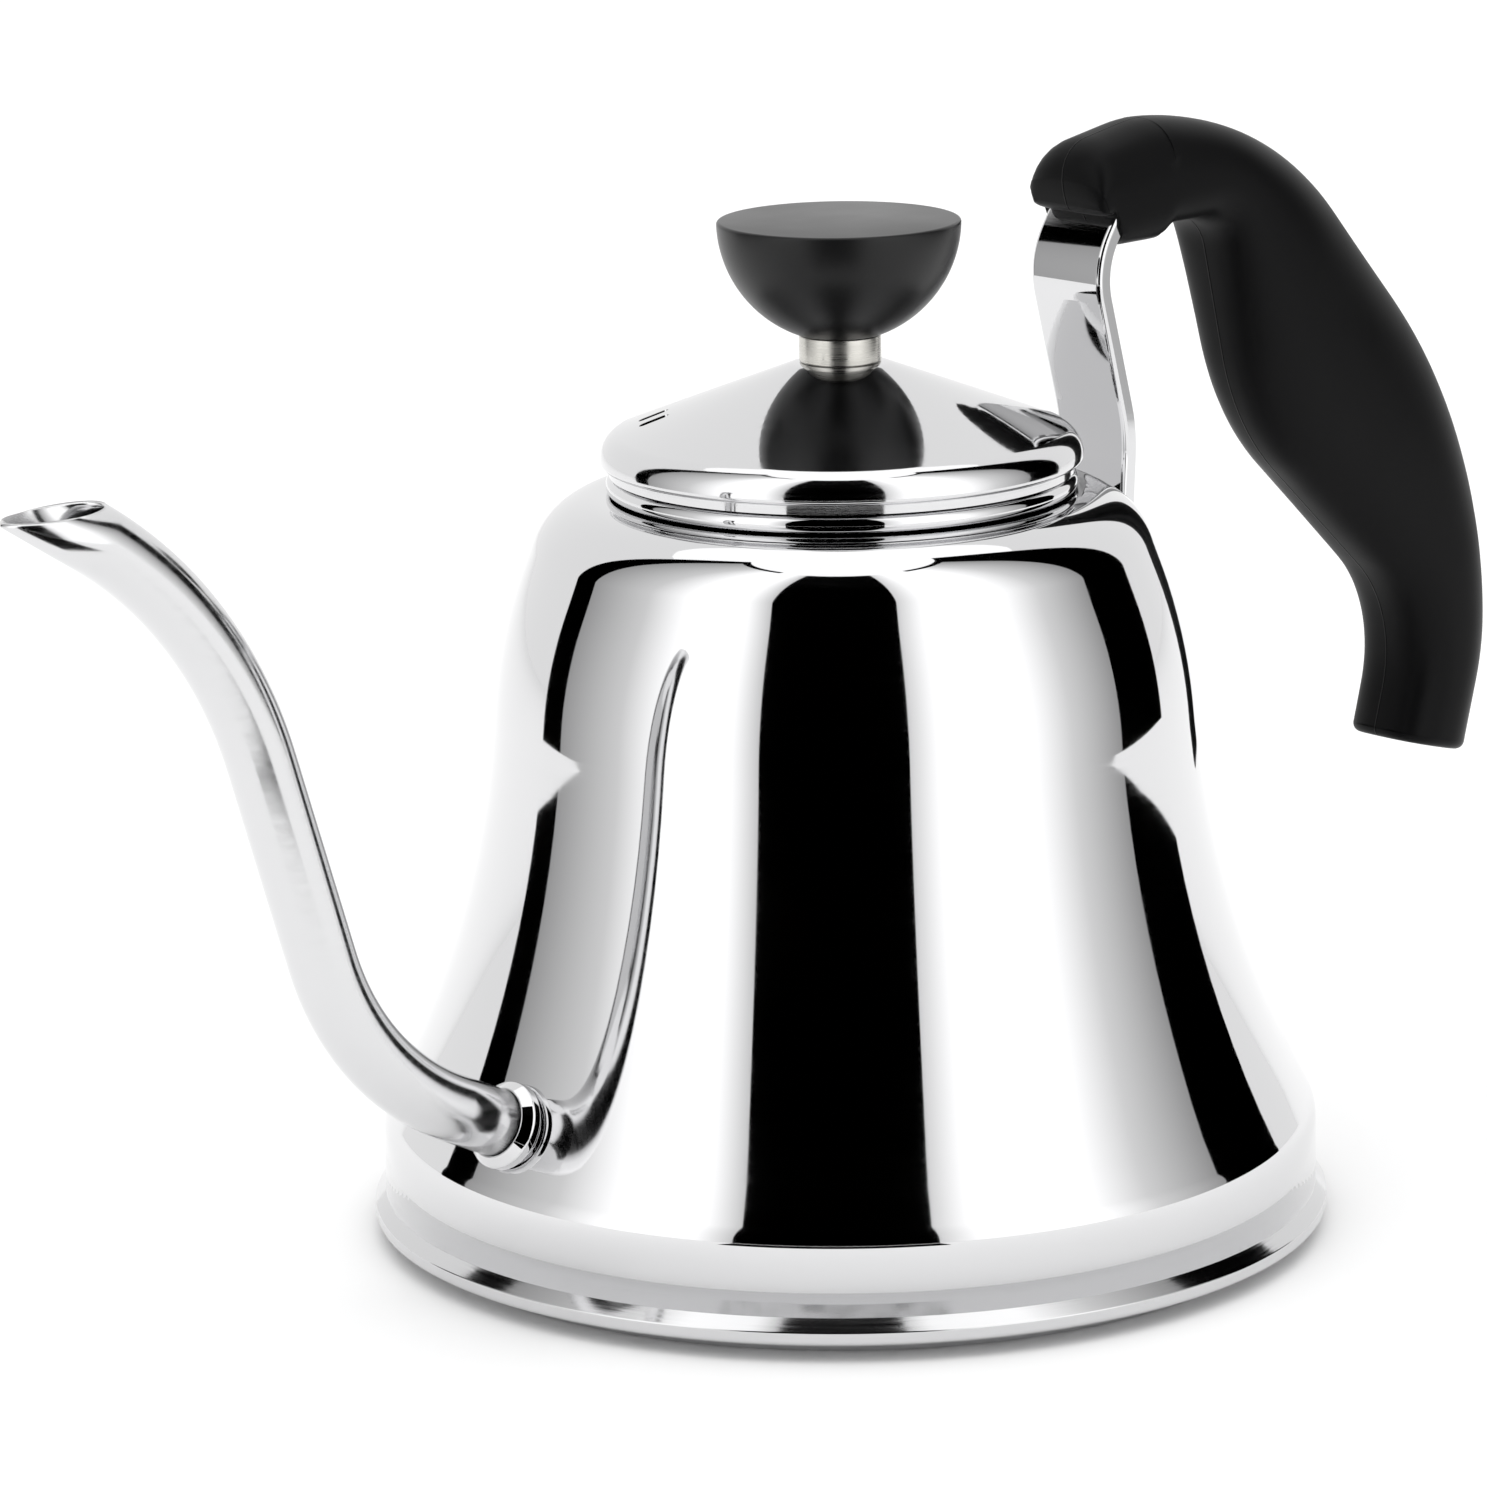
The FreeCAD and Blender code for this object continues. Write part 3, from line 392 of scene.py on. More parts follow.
def lathe_marks(tree, spacing, stretch):
    """Noise drawn out into rings around the axis, as a lathe or a buffing wheel leaves them."""
    place_node = add_node(tree, "ShaderNodeTexCoord")
    squeeze = add_node(tree, "ShaderNodeMapping", values={"Scale": (1 / stretch, 1 / stretch, 1)},
                       links={"Vector": (place_node, "Object")})
    return add_node(tree, "ShaderNodeTexNoise",
                    values={"Scale": 1 / spacing, "Detail": 3.0, "Roughness": 0.6},
                    links={"Vector": (squeeze, "Vector")})


def varied(tree, pattern, low, high):
    """The pattern's middle half spread between two values."""
    return add_node(tree, "ShaderNodeMapRange",
                    values={"From Min": 0.3, "From Max": 0.7, "To Min": low, "To Max": high},
                    links={"Value": (pattern, "Fac")})


def shade(tree, shader):
    """Links the shader to the material's surface."""
    add_node(tree, "ShaderNodeOutputMaterial", links={"Surface": (shader, "BSDF")})


def polished_stainless():
    """18/8 stainless sheet, spun and then buffed to a mirror: sharp reflections over the faint
    rings of the buffing wheel, and hairline scuffs that only soften the brightest edges."""
    material, tree = new_material("stainless_steel_buffed")
    wheel = lathe_marks(tree, spacing=0.9 * MM, stretch=40)
    place_node = add_node(tree, "ShaderNodeTexCoord")
    handling = add_node(tree, "ShaderNodeTexNoise", values={"Scale": 1 / (18 * MM), "Detail": 4.0},
                        links={"Vector": (place_node, "Object")})
    rubbed = varied(tree, handling, 0.012, 0.035)
    ringed = varied(tree, wheel, 0.0, 0.02)
    roughness = add_node(tree, "ShaderNodeMath", {"operation": "ADD"}, links={0: (rubbed, 0), 1: (ringed, 0)})
    relief = add_node(tree, "ShaderNodeBump", values={"Strength": 0.03, "Distance": 0.002 * MM},
                      links={"Height": (wheel, "Fac")})
    shade(tree, add_node(
        tree, "ShaderNodeBsdfPrincipled",
        values={"Base Color": bpy.context.scene.kettle_finishes.polished_steel, "Metallic": 1.0},
        links={"Roughness": (roughness, 0), "Normal": (relief, "Normal")},
    ))
    return material


def worked_metal(name, tint, spacing, stretch, low, high, depth):
    """A metal surface with tool rings of one spacing and depth, and a roughness that follows them."""
    material, tree = new_material(name)
    rings = lathe_marks(tree, spacing, stretch)
    roughness = varied(tree, rings, low, high)
    relief = add_node(tree, "ShaderNodeBump", values={"Strength": 0.35, "Distance": depth},
                      links={"Height": (rings, "Fac")})
    shade(tree, add_node(
        tree, "ShaderNodeBsdfPrincipled", values={"Base Color": tint, "Metallic": 1.0},
        links={"Roughness": (roughness, 0), "Normal": (relief, "Normal")},
    ))
    return material


def satin_stainless():
    """Stainless sheet left as spun: a soft grey sheen drawn out across fine tool rings."""
    tint = bpy.context.scene.kettle_finishes.satin_steel
    return worked_metal("stainless_steel_satin", tint, 0.25 * MM, 120, 0.05, 0.12, 0.01 * MM)


def spun_stainless():
    """Stainless sheet spun into the lid and polished on the lathe: nearly a mirror, whose edges are
    drawn out along fine rings."""
    tint = bpy.context.scene.kettle_finishes.polished_steel
    return worked_metal("stainless_steel_spun", tint, 0.5 * MM, 60, 0.03, 0.1, 0.003 * MM)


def drawn_stainless():
    """Stainless tube drawn through a die and lightly polished: reflections run together into a
    pale grey sheen along the tube, with darker edges."""
    tint = bpy.context.scene.kettle_finishes.polished_steel
    return worked_metal("stainless_steel_drawn", tint, 1.2 * MM, 4, 0.12, 0.2, 0.002 * MM)


def brushed_nickel():
    """Nickel plate on turned brass, brushed round and round: a warm grey with a blurred glow."""
    tint = bpy.context.scene.kettle_finishes.nickel
    return worked_metal("nickel_plate_brushed", tint, 0.2 * MM, 60, 0.2, 0.36, 0.01 * MM)


def moulded(name, tint, grit, low, high, specular, parting=False):
    """A moulding whose tool was spark-eroded: fine even grit, a little shinier where hands rub it,
    and, if asked for, a fine witness line where the mould's halves met."""
    material, tree = new_material(name)
    place_node = add_node(tree, "ShaderNodeTexCoord")
    grains = add_node(tree, "ShaderNodeTexNoise", values={"Scale": 1 / grit, "Detail": 2.0},
                      links={"Vector": (place_node, "Object")})
    rub = add_node(tree, "ShaderNodeTexNoise", values={"Scale": 1 / (25 * MM), "Detail": 3.0},
                   links={"Vector": (place_node, "Object")})
    roughness = varied(tree, rub, low, high)
    relief = add_node(tree, "ShaderNodeBump", values={"Strength": 0.25, "Distance": 0.03 * MM},
                      links={"Height": (grains, "Fac")})
    if parting:
        split = add_node(tree, "ShaderNodeSeparateXYZ", links={"Vector": (place_node, "Object")})
        aside = add_node(tree, "ShaderNodeMath", {"operation": "ABSOLUTE"}, links={0: (split, "Y")})
        flash = add_node(tree, "ShaderNodeMapRange",
                         values={"From Max": 0.2 * MM, "To Min": 1.0, "To Max": 0.0},
                         links={"Value": (aside, 0)})
        relief = add_node(tree, "ShaderNodeBump", values={"Strength": 0.8, "Distance": 0.15 * MM},
                          links={"Height": (flash, 0), "Normal": (relief, "Normal")})
    shade(tree, add_node(
        tree, "ShaderNodeBsdfPrincipled",
        values={"Base Color": tint, "IOR": 1.5, "Specular IOR Level": specular},
        links={"Roughness": (roughness, 0), "Normal": (relief, "Normal")},
    ))
    return material


def moulded_phenolic():
    """Compression-moulded phenolic: near black, with a satin glow on its flat top."""
    tint = bpy.context.scene.kettle_finishes.black_phenolic
    return moulded("phenolic_moulded", tint, 0.3 * MM, 0.3, 0.38, 0.33)


def moulded_nylon():
    """Injection-moulded nylon: matt black, whose grit scatters the highlight along the grip's crest."""
    tint = bpy.context.scene.kettle_finishes.black_nylon
    return moulded("nylon_moulded", tint, 0.35 * MM, 0.36, 0.48, 0.1, parting=True)


def zinc_plated():
    """Steel fixings with bright zinc plate: a dull, slightly blue shine over fine turning marks."""
    tint = bpy.context.scene.kettle_finishes.zinc
    return worked_metal("zinc_plate_bright", tint, 0.15 * MM, 20, 0.2, 0.35, 0.01 * MM)


def turned_brass():
    """Free-cutting brass straight from the lathe: yellow, with a soft shine across the tool marks."""
    tint = bpy.context.scene.kettle_finishes.brass
    return worked_metal("brass_turned", tint, 0.12 * MM, 20, 0.25, 0.4, 0.01 * MM)


def pressed_aluminium():
    """Aluminium disc pressed under the base: a matt silver grey from the rolled sheet."""
    tint = bpy.context.scene.kettle_finishes.aluminium
    return worked_metal("aluminium_pressed", tint, 0.3 * MM, 20, 0.35, 0.5, 0.01 * MM)


# ---------------------------------------------------------------- pieces

class KETTLE_OT_bell(bpy.types.Operator):
    """Spin the bell-shaped body and its mouth ring"""

    bl_idname = "kettle.bell"
    bl_label = "Bell and mouth ring"

    def execute(self, context):
        s = context.scene.kettle_vessel
        bell = turned("bell", rounded([
            (s.band_radius, s.seam),
            (s.band_radius, s.band_top, s.band_round),
            (s.waist_radius, s.waist_height, s.waist_round),
            (s.shoulder_radius, s.shoulder_height, s.shoulder_round),
            (s.crown_radius, s.top, s.crown_round),
            (s.mouth_radius, s.top),
        ]))
        modified(bell, "SOLIDIFY", thickness=s.wall, offset=-1.0)
        place(bell, "kettle", "mirror_steel", polished_stainless(), "body_shell")
        low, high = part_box("mouth_ring")
        ring = turned("mouth_bead", rounded([
            (s.ring_bore, low.z),
            (s.mouth_radius - s.ring_gap, low.z),
            (s.mouth_radius - s.ring_gap, s.top),
            (s.ring_radius, s.top, s.ring_round),
            (s.ring_radius, high.z, s.ring_round),
            (s.ring_bore, high.z, s.ring_edge),
            (s.ring_bore, low.z),
        ], step=math.radians(10)))
        place(ring, "kettle", "mirror_steel", polished_stainless(), "mouth_ring")
        return {"FINISHED"}


class KETTLE_OT_base(bpy.types.Operator):
    """Turn the base's floor sheet with its rolled hem"""

    bl_idname = "kettle.base"
    bl_label = "Base"

    def execute(self, context):
        s = context.scene.kettle_vessel
        inside = s.hem_radius - s.hem_width
        base = turned("base_hem", rounded([
            (0, s.floor_bottom),
            (inside, s.floor_bottom),
            (inside, s.hem_bottom, s.hem_inside),
            (s.hem_radius, s.hem_bottom, s.hem_round),
            (s.hem_radius, s.hem_shoulder, s.hem_edge),
            (s.band_radius, s.seam),
            (s.band_radius - s.wall, s.seam),
            (s.band_radius - s.wall, s.spigot_top),
            (s.spigot_radius, s.spigot_top),
            (s.spigot_radius, s.floor_bottom + s.wall, s.spigot_round),
            (0, s.floor_bottom + s.wall),
        ], step=math.radians(6)))
        place(base, "kettle", "satin_steel", satin_stainless(), "vessel_floor")
        finish_nodes(satin_stainless(), "base_cap")
        return {"FINISHED"}


class KETTLE_OT_spout(bpy.types.Operator):
    """Draw the gooseneck tube along its centre line, cut its mouth and turn its collar"""

    bl_idname = "kettle.spout"
    bl_label = "Spout and collar"

    def execute(self, context):
        s = context.scene.kettle_spout
        root = Vector((-s.root_out, 0, s.root_height))
        mouth = Vector((-s.mouth_out, 0, s.mouth_height))
        lower = Vector((-s.lower_out, 0, s.lower_height))
        upper = Vector((-s.upper_out, 0, s.upper_height))
        start = root + (root - lower).normalized() * s.inset
        past = mouth + (mouth - upper).normalized() * s.radius * 2
        route = rounded([
            (start.x, start.z),
            (lower.x, lower.z, s.lower_round),
            (upper.x, upper.z, s.upper_round),
            (past.x, past.z),
        ])
        tube = drawn_tube("spout", route, s.radius)
        choose(tube)
        bpy.ops.object.mode_set(mode="EDIT")
        bpy.ops.mesh.select_all(action="SELECT")
        cut = Vector((-math.sin(s.cut_slope), 0, math.cos(s.cut_slope)))
        bpy.ops.mesh.bisect(plane_co=mouth, plane_no=cut, clear_outer=True)
        settle(tube)
        modified(tube, "SOLIDIFY", thickness=s.wall, offset=-1.0, use_even_offset=True)
        place(tube, "kettle", "mirror_steel", drawn_stainless(), "spout_tube")
        bore = s.radius + s.collar_gap
        end = s.collar_foot + s.bead_width
        collar = turned("collar", rounded([
            (bore, -s.collar_sink),
            (bore + s.collar_sleeve, -s.collar_sink),
            (bore + s.collar_sleeve, s.collar_foot),
            (bore + s.collar_sleeve + s.bead_height, s.collar_foot, s.bead_round),
            (bore + s.collar_sleeve + s.bead_height, end, s.bead_round),
            (bore + s.collar_tip, end + s.collar_taper),
            (bore, end + s.collar_taper),
            (bore, -s.collar_sink),
        ], step=math.radians(10)), segments=128)
        collar.location = root
        collar.rotation_euler.y = math.atan2(lower.x - root.x, lower.z - root.z)
        place(settle(collar), "kettle", "mirror_steel", polished_stainless(), "spout_collar")
        return {"FINISHED"}


def drawn_tube(name, route, radius, sides=64):
    """A ring extruded along a route in the XZ plane, turned at each point to face along it."""
    steps = [after - before for before, after in zip(route, route[1:])]
    headings = [steps[0]] + [a.normalized() + b.normalized() for a, b in zip(steps, steps[1:])] + [steps[-1]]
    slopes = [math.atan2(heading.x, heading.z) for heading in headings]
    deselect()
    bpy.ops.mesh.primitive_circle_add(
        vertices=sides, radius=radius, location=route[0], rotation=(0, slopes[0], 0)
    )
    tube = named(name)
    bpy.ops.object.mode_set(mode="EDIT")
    for point, step, slope, last in zip(route[1:], steps, slopes[1:], slopes):
        extrude(step)
        bpy.ops.transform.rotate(value=last - slope, orient_axis="Y", center_override=point)
    tidy_skin()
    return settle(tube)


class KETTLE_OT_lid(bpy.types.Operator):
    """Spin the lid, cut its steam slots and finish its skirt"""

    bl_idname = "kettle.lid"
    bl_label = "Lid"

    def execute(self, context):
        s = context.scene.kettle_lid
        lid = turned("lid_dome", rounded([
            (s.lip_radius, s.lip_bottom),
            (s.lip_radius, s.rim_bottom),
            (s.rim_radius, s.rim_bottom, s.rim_round),
            (s.rim_radius, s.eave, s.eave_round),
            (s.land_radius, s.top, s.land_radius),
            (s.screw_hole, s.top),
        ]))
        modified(lid, "SOLIDIFY", thickness=s.wall, offset=-1.0)
        for side in (-0.5, 0.5):
            cut_vent(lid, s, side)
        place(lid, "lid", "mirror_steel", spun_stainless(), "lid_shell")
        finish_nodes(satin_stainless(), "lid_skirt")
        return {"FINISHED"}


def cut_vent(lid, s, side):
    """Cuts one steam slot through the lid with a rounded bar."""
    middle = Vector((s.vent_radius, side * s.vent_spacing, (s.eave + s.top) / 2))
    deselect()
    bpy.ops.mesh.primitive_cube_add(size=1, location=middle)
    bar = named("vent_bar")
    bar.scale = (s.vent_length, s.vent_width, s.top - s.eave)
    bpy.ops.object.transform_apply(location=True, scale=True)
    bpy.ops.object.mode_set(mode="EDIT")
    bpy.ops.mesh.select_all(action="DESELECT")
    bpy.ops.object.mode_set(mode="OBJECT")
    for edge in bar.data.edges:
        first, last = (bar.data.vertices[i].co for i in edge.vertices)
        edge.select = abs(first.z - last.z) > MM
    bpy.ops.object.mode_set(mode="EDIT")
    bpy.ops.mesh.select_mode(type="EDGE")
    bpy.ops.mesh.bevel(offset=s.vent_round, segments=8)
    bpy.ops.mesh.select_mode(type="VERT")
    bpy.ops.mesh.select_all(action="SELECT")
    bpy.ops.transform.rotate(value=-s.vent_azimuth, orient_axis="Z", center_override=(0, 0, 0))
    bpy.ops.object.mode_set(mode="OBJECT")
    modified(lid, "BOOLEAN", object=bar, operation="DIFFERENCE", solver="EXACT")
    bpy.data.objects.remove(bar)
    settle(lid)


class KETTLE_OT_knob(bpy.types.Operator):
    """Turn the half-ball knob and the ferrule under it"""

    bl_idname = "kettle.knob"
    bl_label = "Knob and ferrule"

    def execute(self, context):
        s = context.scene.kettle_lid
        low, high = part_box("lid_knob")
        bottom = math.acos((high.z - low.z) / s.knob_radius)
        turns = [bottom + (math.pi / 2 - bottom) * i / 48 for i in range(47)]
        bowl = [(s.knob_radius * math.sin(turn), high.z - s.knob_radius * math.cos(turn)) for turn in turns]
        knob = turned("knob", rounded(
            [(0, low.z)] + bowl + [(s.knob_radius, high.z, s.knob_bevel), (0, high.z)], step=math.radians(15)
        ), segments=128)
        place(knob, "lid", "black_moulding", moulded_phenolic(), "lid_knob")
        low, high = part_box("knob_ferrule")
        ferrule = turned("ferrule", rounded([
            (s.screw_hole, low.z),
            (s.ferrule_radius, low.z, s.ferrule_round),
            (s.ferrule_radius, high.z, s.ferrule_round),
            (s.screw_hole, high.z),
            (s.screw_hole, low.z),
        ], step=math.radians(15)), segments=96)
        place(ferrule, "lid", "nickel", brushed_nickel(), "knob_ferrule")
        return {"FINISHED"}


class KETTLE_OT_grip(bpy.types.Operator):
    """Wrap the moulded grip round its side lines and finish the steel bracket that it sits on"""

    bl_idname = "kettle.grip"
    bl_label = "Grip and bracket"

    def execute(self, context):
        grip = moulded_grip(context.scene.kettle_grip)
        place(grip, "kettle", "black_moulding", moulded_nylon(), "handle_grip")
        finish_nodes(polished_stainless(), "handle_bracket")
        return {"FINISHED"}


# The grip's two side lines from nose to free end, as corners and roundings in mm from the tongue's start.
GRIP_CREST = [
    (-6.9, -0.4), (-7.2, 6.4, 6.0), (8.0, 9.4, 25.0), (34.0, 9.4, 55.0), (86.4, -48.9, 85.0),
    (86.4, -87.0, 40.0), (81.6, -104.7),
]
GRIP_BELLY = [
    (-5.6, -4.2), (-2.5, -4.2, 1.0), (-1.8, -9.3, 1.2), (7.5, -9.3, 2.5), (10.5, -7.3, 2.5),
    (23.2, -7.3, 7.0), (31.5, -43.3, 40.0), (70.4, -79.5, 22.0), (64.6, -100.2),
]


def placed(corners, s):
    """Corners in mm from the tongue's start, as corners in the frame."""
    return [(s.tongue_out + corner[0] * MM, s.tongue_height + corner[1] * MM, *(r * MM for r in corner[2:]))
            for corner in corners]


def point_along(line, distance):
    """The point that lies a distance along a line."""
    for start, end in zip(line, line[1:]):
        step = (end - start).length
        if distance <= step:
            return start.lerp(end, distance / step)
        distance -= step
    return line[-1]


def spaced(line, count):
    """Points at even steps along a line."""
    total = sum((end - start).length for start, end in zip(line, line[1:]))
    return [point_along(line, total * index / count) for index in range(count + 1)]


def eased(low, high, share):
    """From low to high with a gentle start and finish, as the share goes from 0 to 1."""
    share = min(1.0, max(0.0, share))
    return low + (high - low) * share * share * (3 - 2 * share)


def section_point(top, bottom, half, crest, belly, turn):
    """A point of the grip's section, whose crest and belly each have their own squareness."""
    power = 2 / (crest if math.cos(turn) > 0 else belly)
    along = math.copysign(abs(math.cos(turn)) ** power, math.cos(turn))
    across = math.copysign(abs(math.sin(turn)) ** power, math.sin(turn))
    return (top + bottom) / 2 + (top - bottom) / 2 * along + Vector((0, half * across, 0))


def moulded_grip(s, stations=110, sides=72):
    """A grid wrapped round the grip from section to section, with its ends closed and rounded."""
    crest_line = spaced(rounded(placed(GRIP_CREST, s)), stations)
    belly_line = spaced(rounded(placed(GRIP_BELLY, s)), stations)
    deselect()
    bpy.ops.mesh.primitive_grid_add(x_subdivisions=stations, y_subdivisions=sides, size=1)
    grip = named("grip")
    for vertex in grip.data.vertices:
        station = round((vertex.co.x + 0.5) * stations)
        turn = (vertex.co.y + 0.5) * FULL_TURN
        along = station / stations
        if along < s.palm_start:
            half = eased(s.nose_half, s.palm_half, along / s.palm_start)
        else:
            half = eased(s.palm_half, s.tail_half, (along - s.palm_end) / (1 - s.palm_end))
        belly = eased(s.seat, s.belly, along / s.seat_end)
        vertex.co = section_point(crest_line[station], belly_line[station], half, s.crest, belly, turn)
    bpy.ops.object.mode_set(mode="EDIT")
    tidy_skin()
    bpy.ops.mesh.select_all(action="DESELECT")
    bpy.ops.mesh.select_non_manifold()
    bpy.ops.mesh.edge_face_add()
    bpy.ops.mesh.select_all(action="DESELECT")
    settle(grip)
    for face in grip.data.polygons:
        face.select = len(face.vertices) == sides
    bpy.ops.object.mode_set(mode="EDIT")
    bpy.ops.mesh.region_to_loop()
    bpy.ops.mesh.bevel(offset=s.end_round, segments=6)
    tidy_skin()
    settle(grip)
    return counterbored(grip, s)


def counterbored(grip, s):
    """Cuts the hole over the fixing screw, from the grip's underside up to its washer."""
    middle = Vector((s.screw_out, 0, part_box("handle_washer")[1].z - s.bore_depth / 2))
    deselect()
    bpy.ops.mesh.primitive_cylinder_add(
        vertices=48, radius=s.bore_radius, depth=s.bore_depth, location=middle
    )
    bore = named("screw_bore")
    modified(grip, "BOOLEAN", object=bore, operation="DIFFERENCE", solver="EXACT")
    bpy.data.objects.remove(bore)
    return settle(grip)


class KETTLE_OT_hardware(bpy.types.Operator):
    """Finish the screws, washers, inserts and the heat spreader"""

    bl_idname = "kettle.hardware"
    bl_label = "Screws, inserts and heat spreader"

    def execute(self, context):
        finish_nodes(
            zinc_plated(), "knob_screw", "knob_washer", "knob_lock_washer", "handle_screw", "handle_washer"
        )
        finish_nodes(turned_brass(), "knob_insert", "handle_insert")
        finish_nodes(pressed_aluminium(), "heat_spreader")
        return {"FINISHED"}


# ---------------------------------------------------------------- studio

# Where one screen ends and the next begins, in degrees off the camera's own bearing.
LEFT_FLAG_START = -111.0
LEFT_START = -101.0
LEFT_VALANCE_END = -50.0
FRONT_START = -26.5
FRONT_END = 19.7
RIGHT_VALANCE_START = 50.0
RIGHT_END = 97.0
RIGHT_FLAG_END = 121.0

# Light across a screen: how far along it, and the level there.
BLACK = [(0.0, 0.0), (1.0, 0.0)]
WHITE = [(0.0, 1.45), (1.0, 1.45)]
RISING = [(0.0, 0.42), (0.35, 0.85), (0.6, 1.6), (0.88, 1.5), (1.0, 0.8)]
FALLING = [(0.0, 0.9), (0.12, 1.5), (0.5, 1.6), (0.72, 0.9), (1.0, 0.4)]


def glowing(name, levels, middle, half):
    """A screen's light, level by level from one side to the other."""
    material, tree = new_material(name)
    place_node = add_node(tree, "ShaderNodeTexCoord")
    turn = add_node(tree, "ShaderNodeMapping", values={"Rotation": (0, 0, -middle)},
                    links={"Vector": (place_node, "Object")})
    split = add_node(tree, "ShaderNodeSeparateXYZ", links={"Vector": (turn, "Vector")})
    azimuth = add_node(tree, "ShaderNodeMath", {"operation": "ARCTAN2"},
                       links={0: (split, "Y"), 1: (split, "X")})
    across = add_node(tree, "ShaderNodeMapRange", values={"From Min": -half, "From Max": half},
                      links={"Value": (azimuth, 0)})
    ramp = add_node(tree, "ShaderNodeValToRGB", links={"Fac": (across, 0)})
    stops = ramp.color_ramp.elements
    while len(stops) < len(levels):
        stops.new(0.5)
    for stop, (where, level) in zip(stops, levels):
        stop.position = where
        stop.color = (level, level, level, 1)
    glow = add_node(tree, "ShaderNodeEmission", links={"Color": (ramp, "Color")})
    add_node(tree, "ShaderNodeOutputMaterial", links={"Surface": (glow, "Emission")})
    return material


def screen(name, start, end, foot, head, levels):
    """A curved studio screen that only reflections see, from one bearing to another off the camera's own.
    Its foot and head are given as distance from the axis and height."""
    studio = bpy.context.scene.kettle_studio
    facing = studio.camera_azimuth - math.pi / 2
    first = facing + math.radians(start)
    sweep = math.radians(end - start)
    wall = start_line(name, flat(foot))
    extrude(flat(head) - flat(foot))
    bpy.ops.mesh.select_all(action="SELECT")
    bpy.ops.mesh.spin(steps=24, angle=-sweep, center=(0, 0, 0), axis=(0, 0, 1))
    bpy.ops.mesh.select_all(action="SELECT")
    bpy.ops.transform.rotate(value=-first, orient_axis="Z", center_override=(0, 0, 0))
    settle(wall)
    wall.data.materials.append(glowing(name + "_light", levels, first + sweep / 2, sweep / 2))
    wall.visible_camera = False
    wall.visible_diffuse = False
    wall.visible_shadow = False


class KETTLE_OT_studio(bpy.types.Operator):
    """Set up the pale floor, the soft lights and the camera"""

    bl_idname = "kettle.studio"
    bl_label = "Studio"

    def execute(self, context):
        s = context.scene.kettle_studio
        context.scene.view_settings.view_transform = "Standard"
        context.scene.world = white_room(s)
        deselect()
        bpy.ops.mesh.primitive_plane_add(size=s.floor_size, location=(0, 0, 0))
        floor = named("paper_floor")
        floor.data.materials.append(matte_paper())
        overhead_light(s)
        card_edge = (s.card_start, s.card_lift)
        card_end = (s.screen_distance, s.card_lift)
        foot = (s.screen_distance, s.screen_foot)
        top = (s.screen_distance, s.screen_top)
        crown = (s.screen_distance, s.flag_top)
        screen("front_card", FRONT_START, FRONT_END, card_edge, card_end, BLACK)
        screen("front_flag", FRONT_START, FRONT_END, foot, top, BLACK)
        screen("left_softbox", LEFT_START, FRONT_START, foot, top, RISING)
        screen("right_softbox", FRONT_END, RIGHT_END, foot, top, FALLING)
        screen("left_flag", LEFT_FLAG_START, LEFT_START, foot, crown, BLACK)
        screen("right_flag", RIGHT_END, RIGHT_FLAG_END, foot, crown, BLACK)
        screen("left_valance", LEFT_START, LEFT_VALANCE_END, top, crown, BLACK)
        screen("right_valance", RIGHT_VALANCE_START, RIGHT_END, top, crown, BLACK)
        screen("overhead_sail", 0, 360, (0, s.sail_height), (s.sail_radius, s.sail_height), WHITE)
        aim_camera(context.scene, s)
        return {"FINISHED"}


def white_room(s):
    """An even white light from all around."""
    world = bpy.data.worlds.new("white_room")
    world.use_nodes = True
    background = world.node_tree.nodes["Background"]
    background.inputs["Color"].default_value = (1, 1, 1, 1)
    background.inputs["Strength"].default_value = s.room_light
    return world


def overhead_light(s):
    """A wide soft light over the kettle, which its steel doesn't mirror: the sail stands for it there."""
    deselect()
    bpy.ops.object.light_add(type="AREA", location=(0, 0, s.sail_height))
    overhead = bpy.context.object
    overhead.name = "overhead_softbox"
    overhead.data.shape = "DISK"
    overhead.data.size = 2 * s.sail_radius
    overhead.data.energy = s.key_power
    overhead.visible_glossy = False


def matte_paper():
    """Seamless background paper: a clean, even white with the faintest tooth."""
    material, tree = new_material("paper_matte")
    place_node = add_node(tree, "ShaderNodeTexCoord")
    fibres = add_node(tree, "ShaderNodeTexNoise", values={"Scale": 1 / (2 * MM)},
                      links={"Vector": (place_node, "Object")})
    relief = add_node(tree, "ShaderNodeBump", values={"Strength": 0.05, "Distance": 0.02 * MM},
                      links={"Height": (fibres, "Fac")})
    tint = bpy.context.scene.kettle_finishes.floor
    shade(tree, add_node(
        tree, "ShaderNodeBsdfPrincipled",
        values={"Base Color": tint, "Roughness": 0.9, "Specular IOR Level": 0.1},
        links={"Normal": (relief, "Normal")},
    ))
    return material


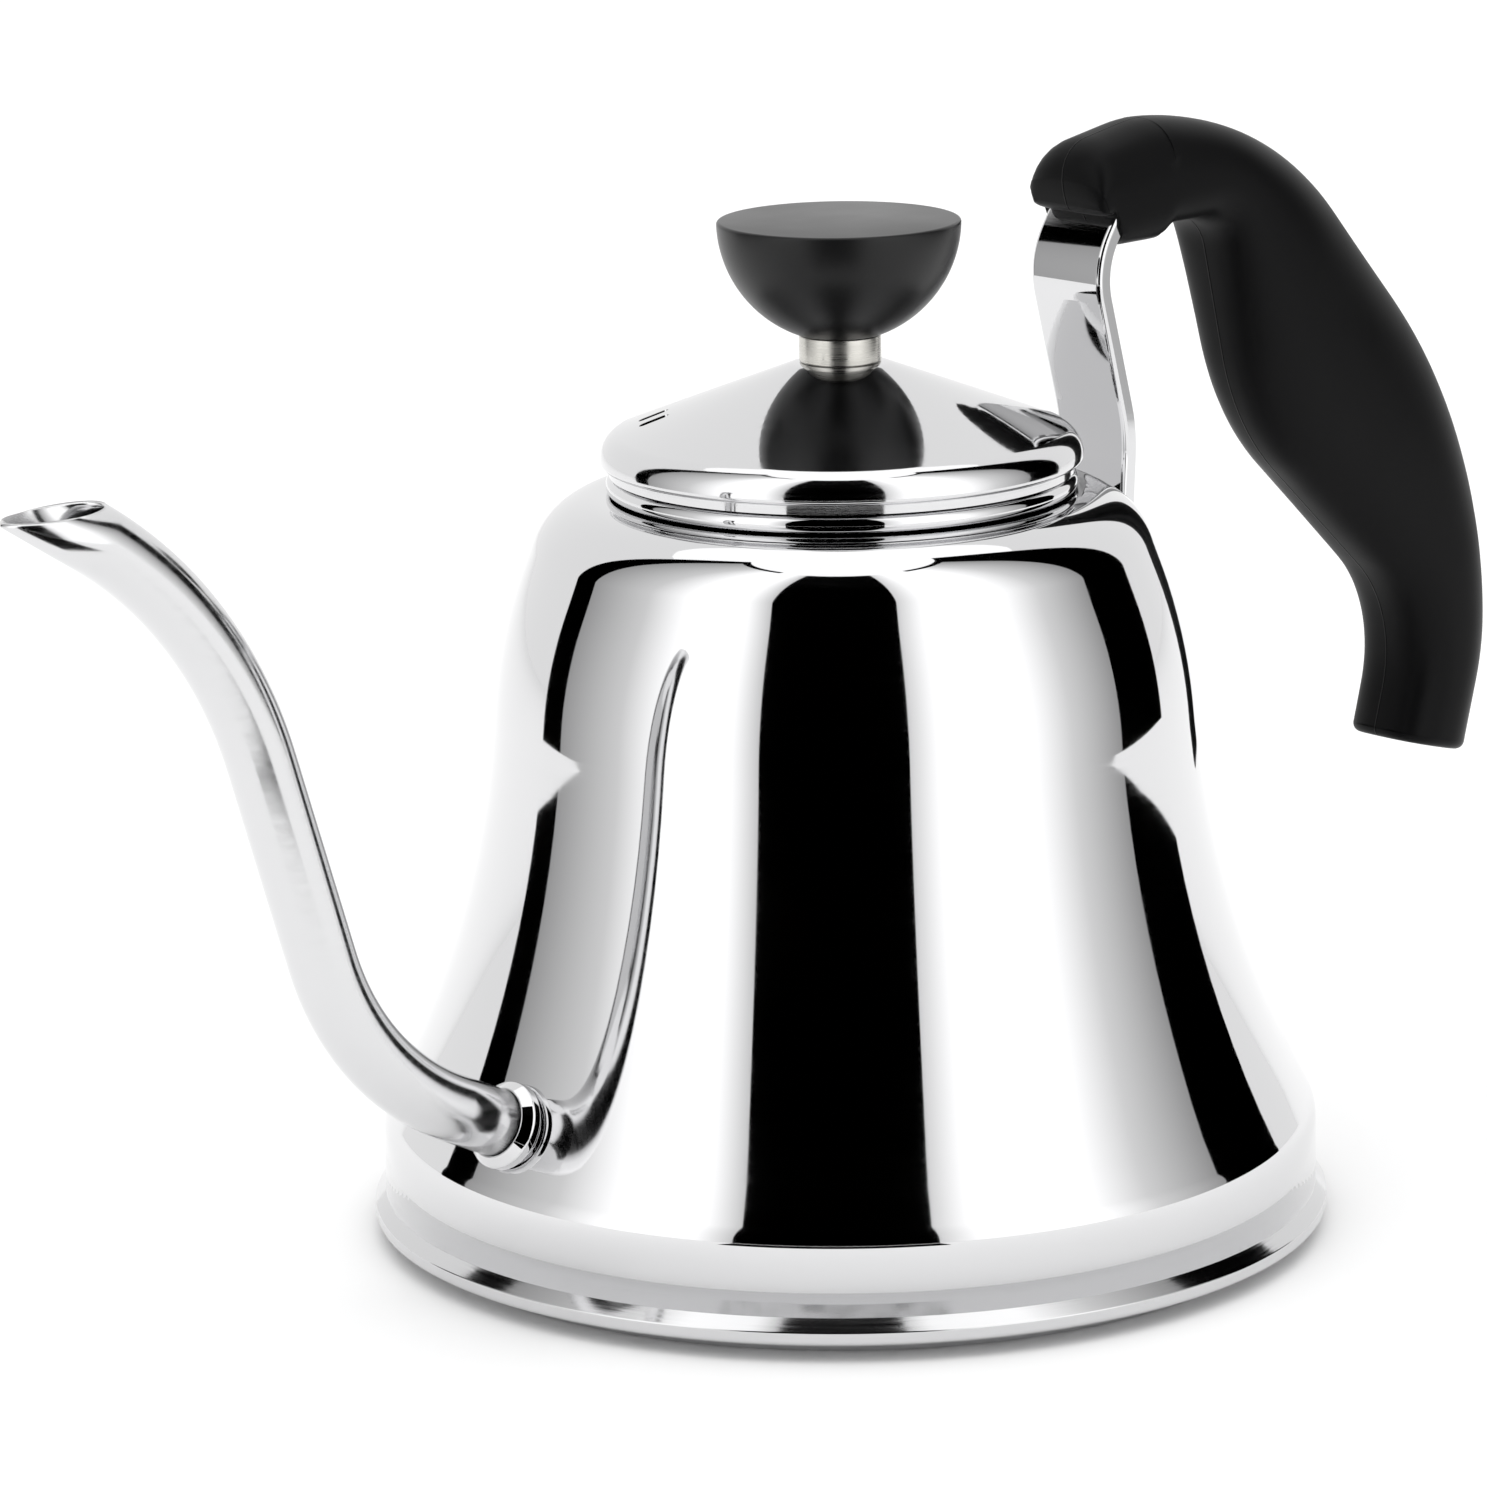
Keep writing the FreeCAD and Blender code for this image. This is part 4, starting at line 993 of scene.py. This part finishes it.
def aim_camera(scene, s):
    """A long lens from the spout's side, a little above the lid."""
    camera = bpy.data.objects.new("camera", bpy.data.cameras.new("camera"))
    scene.collection.objects.link(camera)
    camera.data.lens = s.camera_lens
    azimuth = s.camera_azimuth
    heading = Matrix.Rotation(azimuth - s.camera_pan, 4, "Z")
    tilt = Matrix.Rotation(math.pi / 2 - s.camera_tilt, 4, "X")
    roll = Matrix.Rotation(s.camera_roll, 4, "Z")
    place_at = Vector((math.sin(azimuth), -math.cos(azimuth), 0)) * s.camera_distance
    place_at.z = s.camera_height
    camera.matrix_world = Matrix.Translation(place_at) @ heading @ tilt @ roll
    scene.camera = camera


# ---------------------------------------------------------------- add-on

OPERATORS = (
    KETTLE_OT_bell,
    KETTLE_OT_base,
    KETTLE_OT_spout,
    KETTLE_OT_lid,
    KETTLE_OT_knob,
    KETTLE_OT_grip,
    KETTLE_OT_hardware,
    KETTLE_OT_studio,
)

GROUPS = {
    "kettle_vessel": VesselSizes,
    "kettle_lid": LidSizes,
    "kettle_spout": SpoutSizes,
    "kettle_grip": GripSizes,
    "kettle_studio": StudioSizes,
    "kettle_finishes": Finishes,
}


class KETTLE_PT_panel(bpy.types.Panel):
    """Lists the kettle's pieces in the order that they are made"""

    bl_idname = "KETTLE_PT_panel"
    bl_label = "Gooseneck kettle"
    bl_space_type = "VIEW_3D"
    bl_region_type = "UI"
    bl_category = "Kettle"

    def draw(self, context):
        for operator in OPERATORS:
            self.layout.operator(operator.bl_idname)
        for name, group in GROUPS.items():
            box = self.layout.box()
            for size in group.__annotations__:
                box.prop(getattr(context.scene, name), size)


def register():
    for group in GROUPS.values():
        bpy.utils.register_class(group)
    for name, group in GROUPS.items():
        setattr(bpy.types.Scene, name, PointerProperty(type=group))
    for made in OPERATORS + (KETTLE_PT_panel,):
        bpy.utils.register_class(made)


def unregister():
    for made in reversed(OPERATORS + (KETTLE_PT_panel,)):
        bpy.utils.unregister_class(made)
    for name, group in reversed(GROUPS.items()):
        delattr(bpy.types.Scene, name)
        bpy.utils.unregister_class(group)


def main():
    """Makes every piece in order."""
    register()
    bpy.ops.kettle.bell()
    bpy.ops.kettle.base()
    bpy.ops.kettle.spout()
    bpy.ops.kettle.lid()
    bpy.ops.kettle.knob()
    bpy.ops.kettle.grip()
    bpy.ops.kettle.hardware()
    bpy.ops.kettle.studio()


if __name__ == "__main__":
    main()
